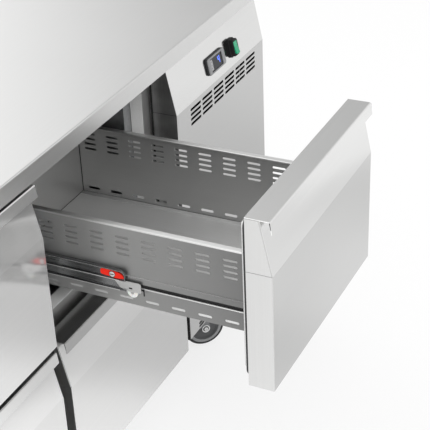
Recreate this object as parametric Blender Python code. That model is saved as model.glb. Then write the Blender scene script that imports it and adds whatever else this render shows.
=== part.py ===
"""Refrigerated counter: two columns of two drawers, and a machine compartment on the right.

Metres, +Z up. The front faces -Y. The origin is on the floor, under the middle of the box that
holds the whole counter with its upper right drawer pulled out, as it stands at rest.
Every piece hangs from an empty at the counter's front left corner on the floor, where X runs
along the front, Y is the depth behind the closed drawer faces and Z is the height.
"""

import math

import bmesh
import bpy
from mathutils import Matrix

# Whole counter
COUNTER_HEIGHT = 0.850
COUNTER_DEPTH = 0.700
TOP_THICKNESS = 0.036
TOP_SETBACK = 0.005
TOP_EDGE_RADIUS = 0.003
BODY_BACK_SETBACK = 0.005
CASTOR_HEIGHT = 0.128
COLUMNS = 2
ROWS = 2
OPEN_COLUMN = 1
OPEN_ROW = 0
REST_TRAVEL = 0.405

# Fits and stock
GAP = 0.0003
OVERRUN = 0.003
SHEET = 0.0012

# Drawer fronts
FRONT_WIDTH = 0.460
FRONT_THICKNESS = 0.047
COLUMN_GAP = 0.0275
ROW_GAP = 0.015
END_REVEAL = 0.0025
BASE_REVEAL = 0.019
HANDLE_CLEARANCE = 0.004
SLOPE_HEIGHT = 0.099
SLOPE_SETBACK = 0.021
HANDLE_SHEET = 0.0016
LIP_HEIGHT = 0.0225
LIP_LEAN = 0.003
LIP_ROUND = 0.0012
LINER_DEPTH = 0.018
LINER_CLEARANCE = 0.003
LINER_ROUND = 0.004
GASKET_WIDTH = 0.0105
GASKET_THICKNESS = 0.0107

# Insulated body
OPENING_SIDE = 0.024
OPENING_TOP = 0.024
OPENING_BOTTOM = 0.011
FRAME_DEPTH = 0.027
FRAME_LAP = 0.012
REAR_WALL = 0.050

# Drawer boxes
BOX_SIDE = 0.065
BOX_REAR_SPACE = 0.0517
BOX_TOP_DROP = 0.109
BOX_BOTTOM_RISE = 0.059
BOX_SHEET = 0.001
BOX_FLANGE = 0.012
SLOT_PITCH = 0.0512
SLOT_FIRST = 0.028
SLOT_LAST = 0.030
SLOT_ROWS = 4
SLOT_STEP = 0.0112
SLOT_LENGTH = 0.0266
SLOT_HEIGHT = 0.0046
SLOT_DROP = 0.0384
LOW_SLOT_RISE = 0.0168

# Drawer slides, measured outwards from the side of the box
SLIDE_SPACE = 0.013
SLIDE_SHEET = 0.0012
RAIL_RISE = 0.039
RAIL_HEIGHT = 0.020
RAIL_DEPTH = 0.0048
RAIL_SHORT = 0.123
MIDDLE_OFFSET = 0.0056
MIDDLE_DEPTH = 0.0052
MIDDLE_INNER_REACH = 0.0045
MIDDLE_RISE = 0.031
MIDDLE_HEIGHT = 0.040
MIDDLE_RIDGE_SHARE = 0.5
MIDDLE_FRONT = 0.072
MIDDLE_SHORT = 0.040
BRACKET_LENGTH = 0.038
BRACKET_STEP = 0.029
CABINET_RAIL_DEPTH = 0.0046
CABINET_RAIL_CLEARANCE = 0.0012
CABINET_RAIL_FRONT = 0.0015
CABINET_RAIL_EXTRA = 0.002
ROLLER_RADIUS = 0.0105
ROLLER_WIDTH = 0.0034
ROLLER_SIDE_GAP = 0.0006
ROLLER_HEAD = 0.0004
ROLLER_CLEARANCE = 0.001
ROLLER_SEGMENTS = 20
PIN_SEGMENTS = 12
PIN_RADIUS = 0.003
PIN_HEAD_RADIUS = 0.005
CABINET_ROLLER_RADIUS = 0.008
LEVER_LENGTH = 0.046
LEVER_HEIGHT = 0.011
LEVER_THICKNESS = 0.0026
LEVER_PIVOT = 0.0575
LEVER_PIN_RADIUS = 0.0022
LEVER_HEAD_RADIUS = 0.004
LEVER_HEAD = 0.0005

# Machine compartment
MACHINE_GAP = 0.004
MACHINE_WIDTH = 0.427
MACHINE_PANEL_RISE = 0.021
PANEL_RETURN = 0.015
TRAY_SHEET = 0.0024
VENT_COLUMNS = 6
VENT_ROWS = 4
VENT_FIRST = 0.088
VENT_PITCH = 0.0543
VENT_STEP = 0.0106
VENT_LENGTH = 0.0425
VENT_HEIGHT = 0.0046
VENT_DROP = 0.014
LOW_VENTS = 2
LOW_VENT_OFFSET = 0.065
LOW_VENT_RISE = 0.006
LOW_VENT_STEP = 0.008
LOW_VENT_LENGTH = 0.026

# Control panel
CONTROLLER_OFFSET = 0.197
CONTROLLER_DROP = 0.062
CONTROLLER_WIDTH = 0.076
CONTROLLER_HEIGHT = 0.036
CONTROLLER_PROUD = 0.009
CONTROLLER_NECK_WIDTH = 0.070
CONTROLLER_NECK_HEIGHT = 0.030
CONTROLLER_NECK_DEPTH = 0.032
CONTROLLER_ROUND = 0.003
DISPLAY_WIDTH = 0.050
DISPLAY_HEIGHT = 0.024
DISPLAY_DEPTH = 0.002
DISPLAY_RECESS = 0.0015
SWITCH_OFFSET = 0.277
SWITCH_WIDTH = 0.030
SWITCH_HEIGHT = 0.040
SWITCH_PROUD = 0.013
SWITCH_NECK_WIDTH = 0.026
SWITCH_NECK_HEIGHT = 0.034
SWITCH_NECK_DEPTH = 0.022
SWITCH_ROUND = 0.004
ROCKER_WIDTH = 0.018
ROCKER_HEIGHT = 0.027
ROCKER_WELL = 0.008
ROCKER_CLEARANCE = 0.0015
ROCKER_PIN_RADIUS = 0.0015
ROCKER_PIVOT_DEPTH = 0.0025
ROCKER_TILT = 8.0

# Refrigeration machine
CONDENSER_WIDTH = 0.300
CONDENSER_HEIGHT = 0.280
CONDENSER_DEPTH = 0.050
CONDENSER_SPINE = 0.010
CONDENSER_FINS = 18
FIN_SHEET = 0.003
CONDENSER_OFFSET = 0.060
CONDENSER_BACK = 0.120
SHROUD_SHEET = 0.0015
SHROUD_RIM = 0.012
FAN_RADIUS = 0.110
FAN_HUB_RADIUS = 0.028
FAN_HUB_DEPTH = 0.024
FAN_TIP_CLEARANCE = 0.006
FAN_BLADES = 5
HUB_SEGMENTS = 16
MOUTH_SEGMENTS = 24
BLADE_PITCH = 28.0
BLADE_SHEET = 0.0015
BLADE_ROOT_SHARE = 0.55
MOTOR_RADIUS = 0.036
MOTOR_LENGTH = 0.050
MOTOR_BAR = 0.018
SHAFT_RADIUS = 0.003
COMPRESSOR_RADIUS = 0.078
COMPRESSOR_HEIGHT = 0.185
COMPRESSOR_FOOT = 0.004
COMPRESSOR_FOOT_WIDTH = 0.180
COMPRESSOR_FOOT_LENGTH = 0.130
COMPRESSOR_BACK = 0.420
SHELL_SEGMENTS = 18
TERMINAL_WIDTH = 0.050
TERMINAL_HEIGHT = 0.060
TERMINAL_DEPTH = 0.030
GRILLE_COLUMNS = 3
GRILLE_ROWS = 9
GRILLE_SLOT_HEIGHT = 0.008
GRILLE_MARGIN = 0.045
GRILLE_BRIDGE = 0.020

# Evaporator between the columns
EVAPORATOR_LENGTH = 0.380
EVAPORATOR_RISE = 0.140
EVAPORATOR_DROP = 0.128
EVAPORATOR_SHEET = 0.0015
EVAPORATOR_SIDE_GAP = 0.004
COIL_FINS = 14
COIL_SHARE = 0.42
EVAPORATOR_FAN_RADIUS = 0.055
EVAPORATOR_HUB_RADIUS = 0.020
EVAPORATOR_HUB_DEPTH = 0.014
EVAPORATOR_MOTOR_LENGTH = 0.024

# Castors
CASTOR_INSET_END = 0.232
CASTOR_INSET_FRONT = 0.1035
CASTOR_INSET_BACK = 0.110
CASTOR_PLATE = 0.090
CASTOR_PLATE_SHEET = 0.003
CASTOR_YAW = 47.0
CASTOR_TRAIL = 0.036
KING_PIN_RADIUS = 0.006
KING_PIN_LENGTH = 0.010
KING_NUT_RADIUS = 0.011
KING_NUT_HEIGHT = 0.003
CROWN_RADIUS = 0.030
FORK_SHEET = 0.003
FORK_WIDTH_SHARE = 0.62
WHEEL_RADIUS = 0.050
WHEEL_WIDTH = 0.028
WHEEL_SEGMENTS = 20
AXLE_RADIUS = 0.005
AXLE_HEAD_RADIUS = 0.010
AXLE_HEAD = 0.004
WHEEL_SIDE_GAP = 0.0015

# Places worked out from the sizes above
TOP_LOWER = COUNTER_HEIGHT - TOP_THICKNESS
BODY_TOP = TOP_LOWER - GAP
BODY_DEPTH = COUNTER_DEPTH - BODY_BACK_SETBACK
FRONTS_HEIGHT = TOP_LOWER - HANDLE_CLEARANCE - CASTOR_HEIGHT - BASE_REVEAL
FRONT_HEIGHT = (FRONTS_HEIGHT - (ROWS - 1) * ROW_GAP) / ROWS
COLUMN_PITCH = FRONT_WIDTH + COLUMN_GAP
ROW_PITCH = FRONT_HEIGHT + ROW_GAP
MACHINE_X = END_REVEAL + COLUMNS * COLUMN_PITCH - COLUMN_GAP + MACHINE_GAP
TOTAL_WIDTH = MACHINE_X + MACHINE_WIDTH
FACE_Y = (REST_TRAVEL - COUNTER_DEPTH) / 2
FRAME_Y = FRONT_THICKNESS + GASKET_THICKNESS + 2 * GAP
FRAME_BACK = FRAME_Y + FRAME_DEPTH
BOX_FRONT = FRONT_THICKNESS + LINER_DEPTH + GAP
BOX_BACK = BODY_DEPTH - REAR_WALL - BOX_REAR_SPACE
BOX_WIDTH = FRONT_WIDTH - 2 * BOX_SIDE
BOX_LENGTH = BOX_BACK - BOX_FRONT
BOX_HEIGHT = FRONT_HEIGHT - BOX_TOP_DROP - BOX_BOTTOM_RISE
SLOT_GROUPS = int((BOX_LENGTH - SLOT_FIRST - SLOT_LAST) / SLOT_PITCH) + 1
RAIL_LENGTH = BOX_LENGTH - RAIL_SHORT
MIDDLE_LENGTH = BOX_LENGTH - MIDDLE_SHORT
CABINET_RAIL_LENGTH = BOX_LENGTH + CABINET_RAIL_EXTRA
PANEL_SLOPE = math.atan2(SLOPE_SETBACK, SLOPE_HEIGHT)


def column_x(column):
    return END_REVEAL + column * COLUMN_PITCH


def handle_top(row):
    return TOP_LOWER - HANDLE_CLEARANCE - row * ROW_PITCH


def opening_top(row):
    return handle_top(row) - OPENING_TOP


def opening_bottom(row):
    return handle_top(row) - FRONT_HEIGHT + OPENING_BOTTOM


FLOOR_Z = opening_bottom(ROWS - 1)
CEILING_Z = opening_top(0)
BEND_Z = handle_top(0) - SLOPE_HEIGHT
EVAPORATOR_HEIGHT = CEILING_Z - FLOOR_Z - EVAPORATOR_RISE - EVAPORATOR_DROP


# Materials

def finish(name, colour, roughness, metallic):
    material = bpy.data.materials.new(name)
    material.use_nodes = True
    shader = material.node_tree.nodes["Principled BSDF"]
    shader.inputs["Base Color"].default_value = (*colour, 1)
    shader.inputs["Roughness"].default_value = roughness
    shader.inputs["Metallic"].default_value = metallic
    return material


def brushed_steel(name):
    return finish(name, (0.62, 0.62, 0.61), 0.34, 1)


def bright_steel(name):
    return finish(name, (0.70, 0.70, 0.69), 0.24, 1)


def zinc(name):
    return finish(name, (0.50, 0.51, 0.52), 0.40, 1)


def dark_plastic(name):
    return finish(name, (0.02, 0.02, 0.02), 0.45, 0)


def pale_plastic(name):
    return finish(name, (0.80, 0.80, 0.78), 0.40, 0)


def grey_rubber(name):
    return finish(name, (0.16, 0.16, 0.17), 0.60, 0)


def silver_plastic(name):
    return finish(name, (0.55, 0.56, 0.57), 0.35, 0)


def red_plastic(name):
    return finish(name, (0.75, 0.04, 0.03), 0.40, 0)


def green_plastic(name):
    return finish(name, (0.04, 0.50, 0.28), 0.25, 0)


def black_paint(name):
    return finish(name, (0.03, 0.03, 0.03), 0.35, 0)


def aluminium(name):
    return finish(name, (0.75, 0.76, 0.77), 0.35, 1)


# Solids, as meshes under construction

AXES = {"X": (1, 2, 0), "Y": (0, 2, 1), "Z": (0, 1, 2)}


def prism(outline, axis, start, end):
    """A closed solid: the outline in the two other axes, drawn out along the axis."""
    first, second, along = AXES[axis]
    solid = bmesh.new()
    rings = []
    for level in (start, end):
        ring = []
        for a, b in outline:
            point = [0, 0, 0]
            point[first] = a
            point[second] = b
            point[along] = level
            ring.append(solid.verts.new(point))
        rings.append(ring)
    close_rings(solid, rings)
    return solid


def close_rings(solid, rings):
    """Joins the rings side to side and caps the first and the last."""
    solid.faces.new(rings[0])
    solid.faces.new(rings[-1])
    count = len(rings[0])
    for low, high in zip(rings, rings[1:]):
        for n in range(count):
            m = (n + 1) % count
            solid.faces.new((low[n], low[m], high[m], high[n]))
    bmesh.ops.recalc_face_normals(solid, faces=solid.faces)


def block(low, high):
    outline = [(low[0], low[1]), (high[0], low[1]), (high[0], high[1]), (low[0], high[1])]
    return prism(outline, "Z", low[2], high[2])


def rounded(width, height, radius, steps=3):
    """A rectangle round the origin with arcs at its corners."""
    points = []
    for corner, (sx, sy) in enumerate(((1, 1), (-1, 1), (-1, -1), (1, -1))):
        for n in range(steps + 1):
            angle = math.pi / 2 * (corner + n / steps)
            x = sx * (width / 2 - radius) + radius * math.cos(angle)
            y = sy * (height / 2 - radius) + radius * math.sin(angle)
            points.append((x, y))
    return points


def circle(radius, segments, turn=0.0):
    angles = [2 * math.pi * n / segments + turn for n in range(segments)]
    return [(radius * math.cos(angle), radius * math.sin(angle)) for angle in angles]


def slot_outline(length, height, points):
    """A slot along the first axis whose ends have the given number of points: 2 is square."""
    outline = []
    for side in (1, -1):
        for n in range(points):
            angle = math.pi * (n / (points - 1) - 1 / 2)
            x = side * (length / 2 - height / 2)
            outline.append((x + side * height / 2 * math.cos(angle), side * height / 2 * math.sin(angle)))
    return outline


def shifted(outline, a, b):
    return [(x + a, y + b) for x, y in outline]


def turned(profile, axis, segments, turn=0.0):
    """A ring solid: the closed profile of (radius, place along the axis) turned about the axis."""
    first, second, along = AXES[axis]
    solid = bmesh.new()
    rings = []
    for n in range(segments):
        angle = 2 * math.pi * n / segments + turn
        ring = []
        for radius, place in profile:
            point = [0, 0, 0]
            point[first] = radius * math.cos(angle)
            point[second] = radius * math.sin(angle)
            point[along] = place
            ring.append(solid.verts.new(point))
        rings.append(ring)
    count = len(profile)
    for n in range(segments):
        low = rings[n]
        high = rings[(n + 1) % segments]
        for k in range(count):
            m = (k + 1) % count
            solid.faces.new((low[k], low[m], high[m], high[k]))
    bmesh.ops.recalc_face_normals(solid, faces=solid.faces)
    return solid


def spindle(profile, axis, segments, turn=0.0):
    """A solid of revolution: the open profile of (radius, place) from end to end, with flat ends."""
    first, second, along = AXES[axis]
    solid = bmesh.new()
    rings = []
    for radius, place in profile:
        ring = []
        for x, y in circle(radius, segments, turn):
            point = [0, 0, 0]
            point[first] = x
            point[second] = y
            point[along] = place
            ring.append(solid.verts.new(point))
        rings.append(ring)
    close_rings(solid, rings)
    return solid


def moved(solid, x, y, z):
    bmesh.ops.translate(solid, verts=solid.verts, vec=(x, y, z))
    return solid


def rotated(solid, degrees, axis):
    matrix = Matrix.Rotation(math.radians(degrees), 3, axis)
    bmesh.ops.rotate(solid, verts=solid.verts, cent=(0, 0, 0), matrix=matrix)
    return solid


def mirrored(solid, x):
    """The solid reflected in the plane at x."""
    for vertex in solid.verts:
        vertex.co.x = 2 * x - vertex.co.x
    bmesh.ops.reverse_faces(solid, faces=solid.faces)
    return solid


def gathered(solids):
    """Several cutters that don't meet, as one mesh."""
    whole = bmesh.new()
    for solid in solids:
        mesh = bpy.data.meshes.new("islands")
        solid.to_mesh(mesh)
        solid.free()
        whole.from_mesh(mesh)
        bpy.data.meshes.remove(mesh)
    return whole


def scratch_object(solid):
    mesh = bpy.data.meshes.new("scratch")
    solid.to_mesh(mesh)
    solid.free()
    thing = bpy.data.objects.new("scratch", mesh)
    bpy.context.scene.collection.objects.link(thing)
    return thing


def combined(solid, tool, operation):
    """The exact Boolean of two solids, as a new mesh under construction."""
    base = scratch_object(solid)
    cutter = scratch_object(tool)
    modifier = base.modifiers.new("shape", "BOOLEAN")
    modifier.operation = operation
    modifier.solver = "EXACT"
    modifier.object = cutter
    graph = bpy.context.evaluated_depsgraph_get()
    mesh = bpy.data.meshes.new_from_object(base.evaluated_get(graph))
    result = bmesh.new()
    result.from_mesh(mesh)
    bpy.data.meshes.remove(mesh)
    for thing in (base, cutter):
        data = thing.data
        bpy.data.objects.remove(thing)
        bpy.data.meshes.remove(data)
    return result


def cut(solid, *tools):
    for tool in tools:
        solid = combined(solid, tool, "DIFFERENCE")
    return solid


def joined(solid, *tools):
    for tool in tools:
        solid = combined(solid, tool, "UNION")
    return solid


def empty(name, parent, location, yaw=0.0, lean=0.0):
    thing = bpy.data.objects.new(name, None)
    thing.parent = parent
    thing.location = location
    thing.rotation_euler = (lean, 0, yaw)
    bpy.context.scene.collection.objects.link(thing)
    return thing


def piece(name, solid, material, parent, location=(0, 0, 0), smooth_angle=None):
    """The finished object of one sub-part."""
    mesh = bpy.data.meshes.new(name)
    solid.to_mesh(mesh)
    solid.free()
    mesh.materials.append(material(name))
    if smooth_angle is not None:
        mesh.shade_smooth()
        mesh.set_sharp_from_angle(angle=math.radians(smooth_angle))
    thing = bpy.data.objects.new(name, mesh)
    thing.parent = parent
    thing.location = location
    bpy.context.scene.collection.objects.link(thing)
    return thing


# Worktop and insulated body

def make_worktop(counter):
    outline = [(COUNTER_DEPTH, TOP_LOWER), (TOP_SETBACK, TOP_LOWER)]
    for n in range(4):
        angle = math.pi / 2 * n / 3
        y = TOP_SETBACK + TOP_EDGE_RADIUS * (1 - math.cos(angle))
        z = COUNTER_HEIGHT - TOP_EDGE_RADIUS * (1 - math.sin(angle))
        outline.append((y, z))
    outline.append((COUNTER_DEPTH, COUNTER_HEIGHT))
    piece("worktop", prism(outline, "X", 0, TOTAL_WIDTH), brushed_steel, counter)


def make_front_frame(counter):
    frame = block((0, FRAME_Y, CASTOR_HEIGHT), (MACHINE_X + FRAME_LAP, FRAME_BACK, BODY_TOP))
    openings = []
    for column in range(COLUMNS):
        left = column_x(column) + OPENING_SIDE
        right = column_x(column) + FRONT_WIDTH - OPENING_SIDE
        for row in range(ROWS):
            low = (left, FRAME_Y - OVERRUN, opening_bottom(row))
            high = (right, FRAME_BACK + OVERRUN, opening_top(row))
            openings.append(block(low, high))
    piece("front_frame", cut(frame, gathered(openings)), brushed_steel, counter)


def make_body_panels(counter):
    front = FRAME_BACK + GAP
    back = BODY_DEPTH - REAR_WALL - GAP
    inner_left = column_x(0) + OPENING_SIDE
    inner_right = column_x(COLUMNS - 1) + FRONT_WIDTH - OPENING_SIDE
    side = block((0, front, CASTOR_HEIGHT), (inner_left, back, BODY_TOP))
    piece("left_side_panel", side, brushed_steel, counter)
    partition = block((inner_right, front, CASTOR_HEIGHT), (MACHINE_X, back, BODY_TOP))
    piece("partition_panel", partition, brushed_steel, counter)
    rear = block((0, back + GAP, CASTOR_HEIGHT), (MACHINE_X, BODY_DEPTH, BODY_TOP))
    piece("rear_panel", rear, brushed_steel, counter)
    ceiling = block((inner_left + GAP, front, CEILING_Z), (inner_right - GAP, back, BODY_TOP))
    piece("ceiling_panel", ceiling, bright_steel, counter)
    base = block((inner_left + GAP, front, CASTOR_HEIGHT), (inner_right - GAP, back, FLOOR_Z))
    for y in castor_depths():
        base = joined(base, castor_plate(CASTOR_INSET_END, y))
    piece("floor_panel", base, bright_steel, counter)


# Drawers

def front_profile():
    """The insulated front in side view, drawn from its handle top down: depth and height."""
    under = -HANDLE_SHEET
    lip_back = LIP_LEAN + HANDLE_SHEET
    return [
        (0, -FRONT_HEIGHT),
        (0, -SLOPE_HEIGHT),
        (SLOPE_SETBACK, under),
        (lip_back, under),
        (HANDLE_SHEET, -LIP_HEIGHT),
        (0, -LIP_HEIGHT),
        (LIP_LEAN, -LIP_ROUND),
        (LIP_LEAN + LIP_ROUND, 0),
        (FRONT_THICKNESS, 0),
        (FRONT_THICKNESS, -FRONT_HEIGHT),
    ]


def liner_size(extra):
    """The width and height of the liner, which enters the opening, plus a margin all round."""
    width = FRONT_WIDTH - 2 * OPENING_SIDE - 2 * LINER_CLEARANCE + 2 * extra
    height = FRONT_HEIGHT - OPENING_TOP - OPENING_BOTTOM - 2 * LINER_CLEARANCE + 2 * extra
    return width, height


def liner_outline(extra, radius):
    width, height = liner_size(extra)
    z = -OPENING_TOP - LINER_CLEARANCE + extra - height / 2
    return shifted(rounded(width, height, radius), FRONT_WIDTH / 2, z)


def make_front(name, drawer):
    front = prism(front_profile(), "X", 0, FRONT_WIDTH)
    deep = FRONT_THICKNESS + LINER_DEPTH
    liner = prism(liner_outline(0, LINER_ROUND), "Y", FRONT_THICKNESS - OVERRUN, deep)
    piece(name + "_front", joined(front, liner), brushed_steel, drawer)
    start = FRONT_THICKNESS + GAP
    end = start + GASKET_THICKNESS
    ring = prism(liner_outline(GAP + GASKET_WIDTH, LINER_ROUND + GASKET_WIDTH), "Y", start, end)
    hole = prism(liner_outline(GAP, LINER_ROUND), "Y", start - OVERRUN, end + OVERRUN)
    piece(name + "_gasket", cut(ring, hole), grey_rubber, drawer)


def side_slots(points):
    """Cutters through both sides of the box: stacked slots in groups, and one low row."""
    top = -BOX_TOP_DROP
    bottom = top - BOX_HEIGHT
    cutters = []
    for group in range(SLOT_GROUPS):
        y = BOX_BACK - SLOT_FIRST - group * SLOT_PITCH
        heights = [bottom + LOW_SLOT_RISE]
        for n in range(SLOT_ROWS):
            heights.append(top - SLOT_DROP + (n - (SLOT_ROWS - 1) / 2) * SLOT_STEP)
        for z in heights:
            outline = shifted(slot_outline(SLOT_LENGTH, SLOT_HEIGHT, points), y, z)
            cutters.append(prism(outline, "X", BOX_SIDE - OVERRUN, BOX_SIDE + BOX_SHEET + OVERRUN))
            right = BOX_SIDE + BOX_WIDTH
            cutters.append(prism(outline, "X", right - BOX_SHEET - OVERRUN, right + OVERRUN))
    return gathered(cutters)


def box_rail():
    """The drawer's own channel of the slide, on the box's left side."""
    bottom = -BOX_TOP_DROP - BOX_HEIGHT + RAIL_RISE
    top = bottom + RAIL_HEIGHT
    back = BOX_SIDE + BOX_SHEET / 2
    web = BOX_SIDE - SLIDE_SHEET
    front = BOX_SIDE - RAIL_DEPTH
    outline = [
        (back, bottom), (front, bottom), (front, bottom + SLIDE_SHEET), (web, bottom + SLIDE_SHEET),
        (web, top - SLIDE_SHEET), (front, top - SLIDE_SHEET), (front, top), (back, top),
    ]
    end = BOX_FRONT + RAIL_LENGTH - 2 * ROLLER_RADIUS - ROLLER_CLEARANCE
    return prism(outline, "Y", BOX_FRONT, end)


def roller_rest(outward):
    """The places across a roller between its carrier, at zero, and the head of its pin."""
    near = outward * ROLLER_SIDE_GAP
    far = outward * (ROLLER_SIDE_GAP + ROLLER_WIDTH)
    return near, far


def roller_ring(outward):
    near, far = roller_rest(outward)
    bore = PIN_RADIUS + GAP
    chamfer = ROLLER_WIDTH / 4
    profile = [
        (bore, near), (ROLLER_RADIUS, near), (ROLLER_RADIUS, far - outward * chamfer),
        (ROLLER_RADIUS - chamfer, far), (bore, far),
    ]
    return turned(profile, "X", ROLLER_SEGMENTS)


def roller_pin(x, y, z, outward, with_roller):
    """The pin that a roller turns on, with its head. Where no roller is made, it is on the pin."""
    near, far = roller_rest(outward)
    root = -outward * BOX_SHEET / 2
    gap = outward * GAP
    head = outward * ROLLER_HEAD
    end = far + gap + head
    if with_roller:
        neck = far + gap
        profile = [(PIN_RADIUS, root), (PIN_RADIUS, neck), (PIN_HEAD_RADIUS, neck), (PIN_HEAD_RADIUS, end)]
    else:
        profile = [
            (PIN_RADIUS, root), (PIN_RADIUS, near), (ROLLER_RADIUS, near), (ROLLER_RADIUS, far),
            (PIN_HEAD_RADIUS, far), (PIN_HEAD_RADIUS, end),
        ]
    return moved(spindle(profile, "X", PIN_SEGMENTS), x, y, z)


def box_roller_place():
    """Depth and height of the roller at the rear end of the drawer's rail."""
    y = BOX_FRONT + RAIL_LENGTH - ROLLER_RADIUS
    z = middle_top() - SLIDE_SHEET - GAP - ROLLER_RADIUS
    return y, z


def make_box(name, drawer, is_open):
    top = -BOX_TOP_DROP
    bottom = top - BOX_HEIGHT
    left = BOX_SIDE
    right = BOX_SIDE + BOX_WIDTH
    wall = BOX_SHEET
    rim = BOX_FLANGE
    box = block((left, BOX_FRONT, bottom), (right, BOX_BACK, top))
    low = (left + wall, BOX_FRONT + wall, bottom + wall)
    inside = block(low, (right - wall, BOX_BACK - wall, top - wall))
    low = (left + rim, BOX_FRONT + rim, bottom + BOX_HEIGHT / 2)
    mouth = block(low, (right - rim, BOX_BACK - rim, top + OVERRUN))
    box = cut(box, joined(inside, mouth))
    y, z = box_roller_place()
    fittings = []
    for side in (1, -1):
        for fitting in (box_rail(), roller_pin(BOX_SIDE, y, z, -1, is_open)):
            fittings.append(fitting if side == 1 else mirrored(fitting, FRONT_WIDTH / 2))
    box = joined(box, *fittings)
    if is_open:
        box = cut(box, side_slots(3))
    piece(name + "_box", box, bright_steel, drawer)


def middle_bottom():
    return -BOX_TOP_DROP - BOX_HEIGHT + MIDDLE_RISE


def middle_top():
    return middle_bottom() + MIDDLE_HEIGHT


def middle_profile():
    """The telescopic middle member in front view: a web with three outward ridges and one inward."""
    inner = BOX_SIDE - MIDDLE_OFFSET
    outer = inner - SLIDE_SHEET
    reach = outer - MIDDLE_DEPTH + SLIDE_SHEET
    inward = inner + MIDDLE_INNER_REACH
    low = middle_bottom()
    high = middle_top()
    ridge = low + MIDDLE_HEIGHT * MIDDLE_RIDGE_SHARE
    return [
        (inner, low), (reach, low), (reach, low + SLIDE_SHEET), (outer, low + SLIDE_SHEET),
        (outer, ridge), (reach, ridge), (reach, ridge + SLIDE_SHEET), (outer, ridge + SLIDE_SHEET),
        (outer, high - SLIDE_SHEET), (reach, high - SLIDE_SHEET), (reach, high), (inward, high),
        (inward, high - SLIDE_SHEET), (inner, high - SLIDE_SHEET),
    ]


def middle_roller_place():
    """Depth and height of the roller under the drawer's rail, at the front of the middle member."""
    y = MIDDLE_FRONT + BRACKET_LENGTH / 2
    z = -BOX_TOP_DROP - BOX_HEIGHT + RAIL_RISE - GAP - ROLLER_RADIUS
    return y, z


def lever_place():
    """Depth and height of the pin of the release lever, in the upper channel of the middle member."""
    y = MIDDLE_FRONT + LEVER_PIVOT
    ridge = middle_bottom() + MIDDLE_HEIGHT * MIDDLE_RIDGE_SHARE + SLIDE_SHEET
    z = (ridge + middle_top() - SLIDE_SHEET) / 2
    return y, z


def lever_outline():
    """The release lever in side view round its pin: a bar with a raised back and a dropped nose."""
    half = LEVER_HEIGHT / 2
    shares = [
        (-0.52, -0.75), (-0.42, -1.0), (-0.15, -0.95), (0.0, -0.62), (0.22, -0.55), (0.36, -0.15),
        (0.48, 0.10), (0.46, 0.75), (0.36, 1.0), (0.05, 0.92), (-0.25, 0.70), (-0.46, 0.15),
    ]
    return [(LEVER_LENGTH * a, half * b) for a, b in shares]


def middle_member(is_open):
    member = prism(middle_profile(), "Y", MIDDLE_FRONT + BRACKET_STEP, MIDDLE_FRONT + MIDDLE_LENGTH)
    inner = BOX_SIDE - MIDDLE_OFFSET
    outer = inner - SLIDE_SHEET
    y, z = middle_roller_place()
    high = middle_bottom() + MIDDLE_HEIGHT * MIDDLE_RIDGE_SHARE
    low = z - PIN_RADIUS
    corner = SLIDE_SHEET * 2
    front = MIDDLE_FRONT
    back = MIDDLE_FRONT + BRACKET_LENGTH
    plate = [
        (front, low + corner), (front + corner, low), (back - corner, low), (back, low + 2 * corner),
        (back + corner, low + 3 * corner), (back + 3 * corner, high), (front + corner, high),
        (front, high - corner),
    ]
    member = joined(member, prism(plate, "X", outer, inner))
    pin = roller_pin(inner, y, z, 1, is_open)
    member = joined(member, pin)
    if is_open:
        y, z = lever_place()
        near = outer - GAP - LEVER_THICKNESS - GAP
        profile = [
            (LEVER_PIN_RADIUS, inner - SLIDE_SHEET / 2), (LEVER_PIN_RADIUS, near), (LEVER_HEAD_RADIUS, near),
            (LEVER_HEAD_RADIUS, near - LEVER_HEAD),
        ]
        member = joined(member, moved(spindle(profile, "X", PIN_SEGMENTS), 0, y, z))
    return member


def make_slides(name, drawer, travel, is_open):
    """The middle members of the slide, which run out half as far as the drawer."""
    for side, word in ((1, "left"), (-1, "right")):
        slide = empty(name + "_" + word + "_slide_place", drawer, (0, travel / 2, 0))
        member = middle_member(is_open)
        if side == -1:
            member = mirrored(member, FRONT_WIDTH / 2)
        piece(name + "_" + word + "_slide", member, zinc, slide)
        if is_open:
            make_slide_fittings(name + "_" + word, drawer, slide, side)


def make_slide_fittings(name, drawer, slide, side):
    """The loose rollers and the red release lever of one slide, each turned about its own pin."""
    centre = FRONT_WIDTH / 2
    inner = centre - side * (centre - BOX_SIDE + MIDDLE_OFFSET)
    outer = inner - side * SLIDE_SHEET
    y, z = middle_roller_place()
    roller = roller_ring(side)
    piece(name + "_front_roller", roller, pale_plastic, slide, (inner, y, z), 40)
    y, z = box_roller_place()
    roller = roller_ring(-side)
    place = (centre - side * (centre - BOX_SIDE), y, z)
    piece(name + "_rear_roller", roller, pale_plastic, drawer, place, 40)
    y, z = lever_place()
    start = -side * GAP
    lever = prism(lever_outline(), "X", start, start - side * LEVER_THICKNESS)
    reach = LEVER_THICKNESS + OVERRUN
    bore = spindle([(LEVER_PIN_RADIUS + GAP, reach), (LEVER_PIN_RADIUS + GAP, -reach)], "X", PIN_SEGMENTS)
    piece(name + "_release_lever", cut(lever, bore), red_plastic, slide, (outer, y, z))


def make_drawer(counter, column, row):
    is_open = column == OPEN_COLUMN and row == OPEN_ROW
    travel = REST_TRAVEL if is_open else 0
    name = ("upper", "lower")[row] + "_" + ("left", "right")[column]
    drawer = empty(name + "_place", counter, (column_x(column), -travel, handle_top(row)))
    make_front(name, drawer)
    make_box(name, drawer, is_open)
    make_slides(name, drawer, travel, is_open)


# Slide supports

def support_outline():
    """The bent sheet that carries a column's slides, in plan, against the opening's left side."""
    face = BOX_SIDE - SLIDE_SPACE
    back = BODY_DEPTH - REAR_WALL - 2 * GAP
    front = FRAME_BACK + GAP
    left = OPENING_SIDE + GAP
    return [
        (left, front), (face, front), (face, back), (left, back), (left, back - SHEET),
        (face - SHEET, back - SHEET), (face - SHEET, front + SHEET), (left, front + SHEET),
    ]


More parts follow.
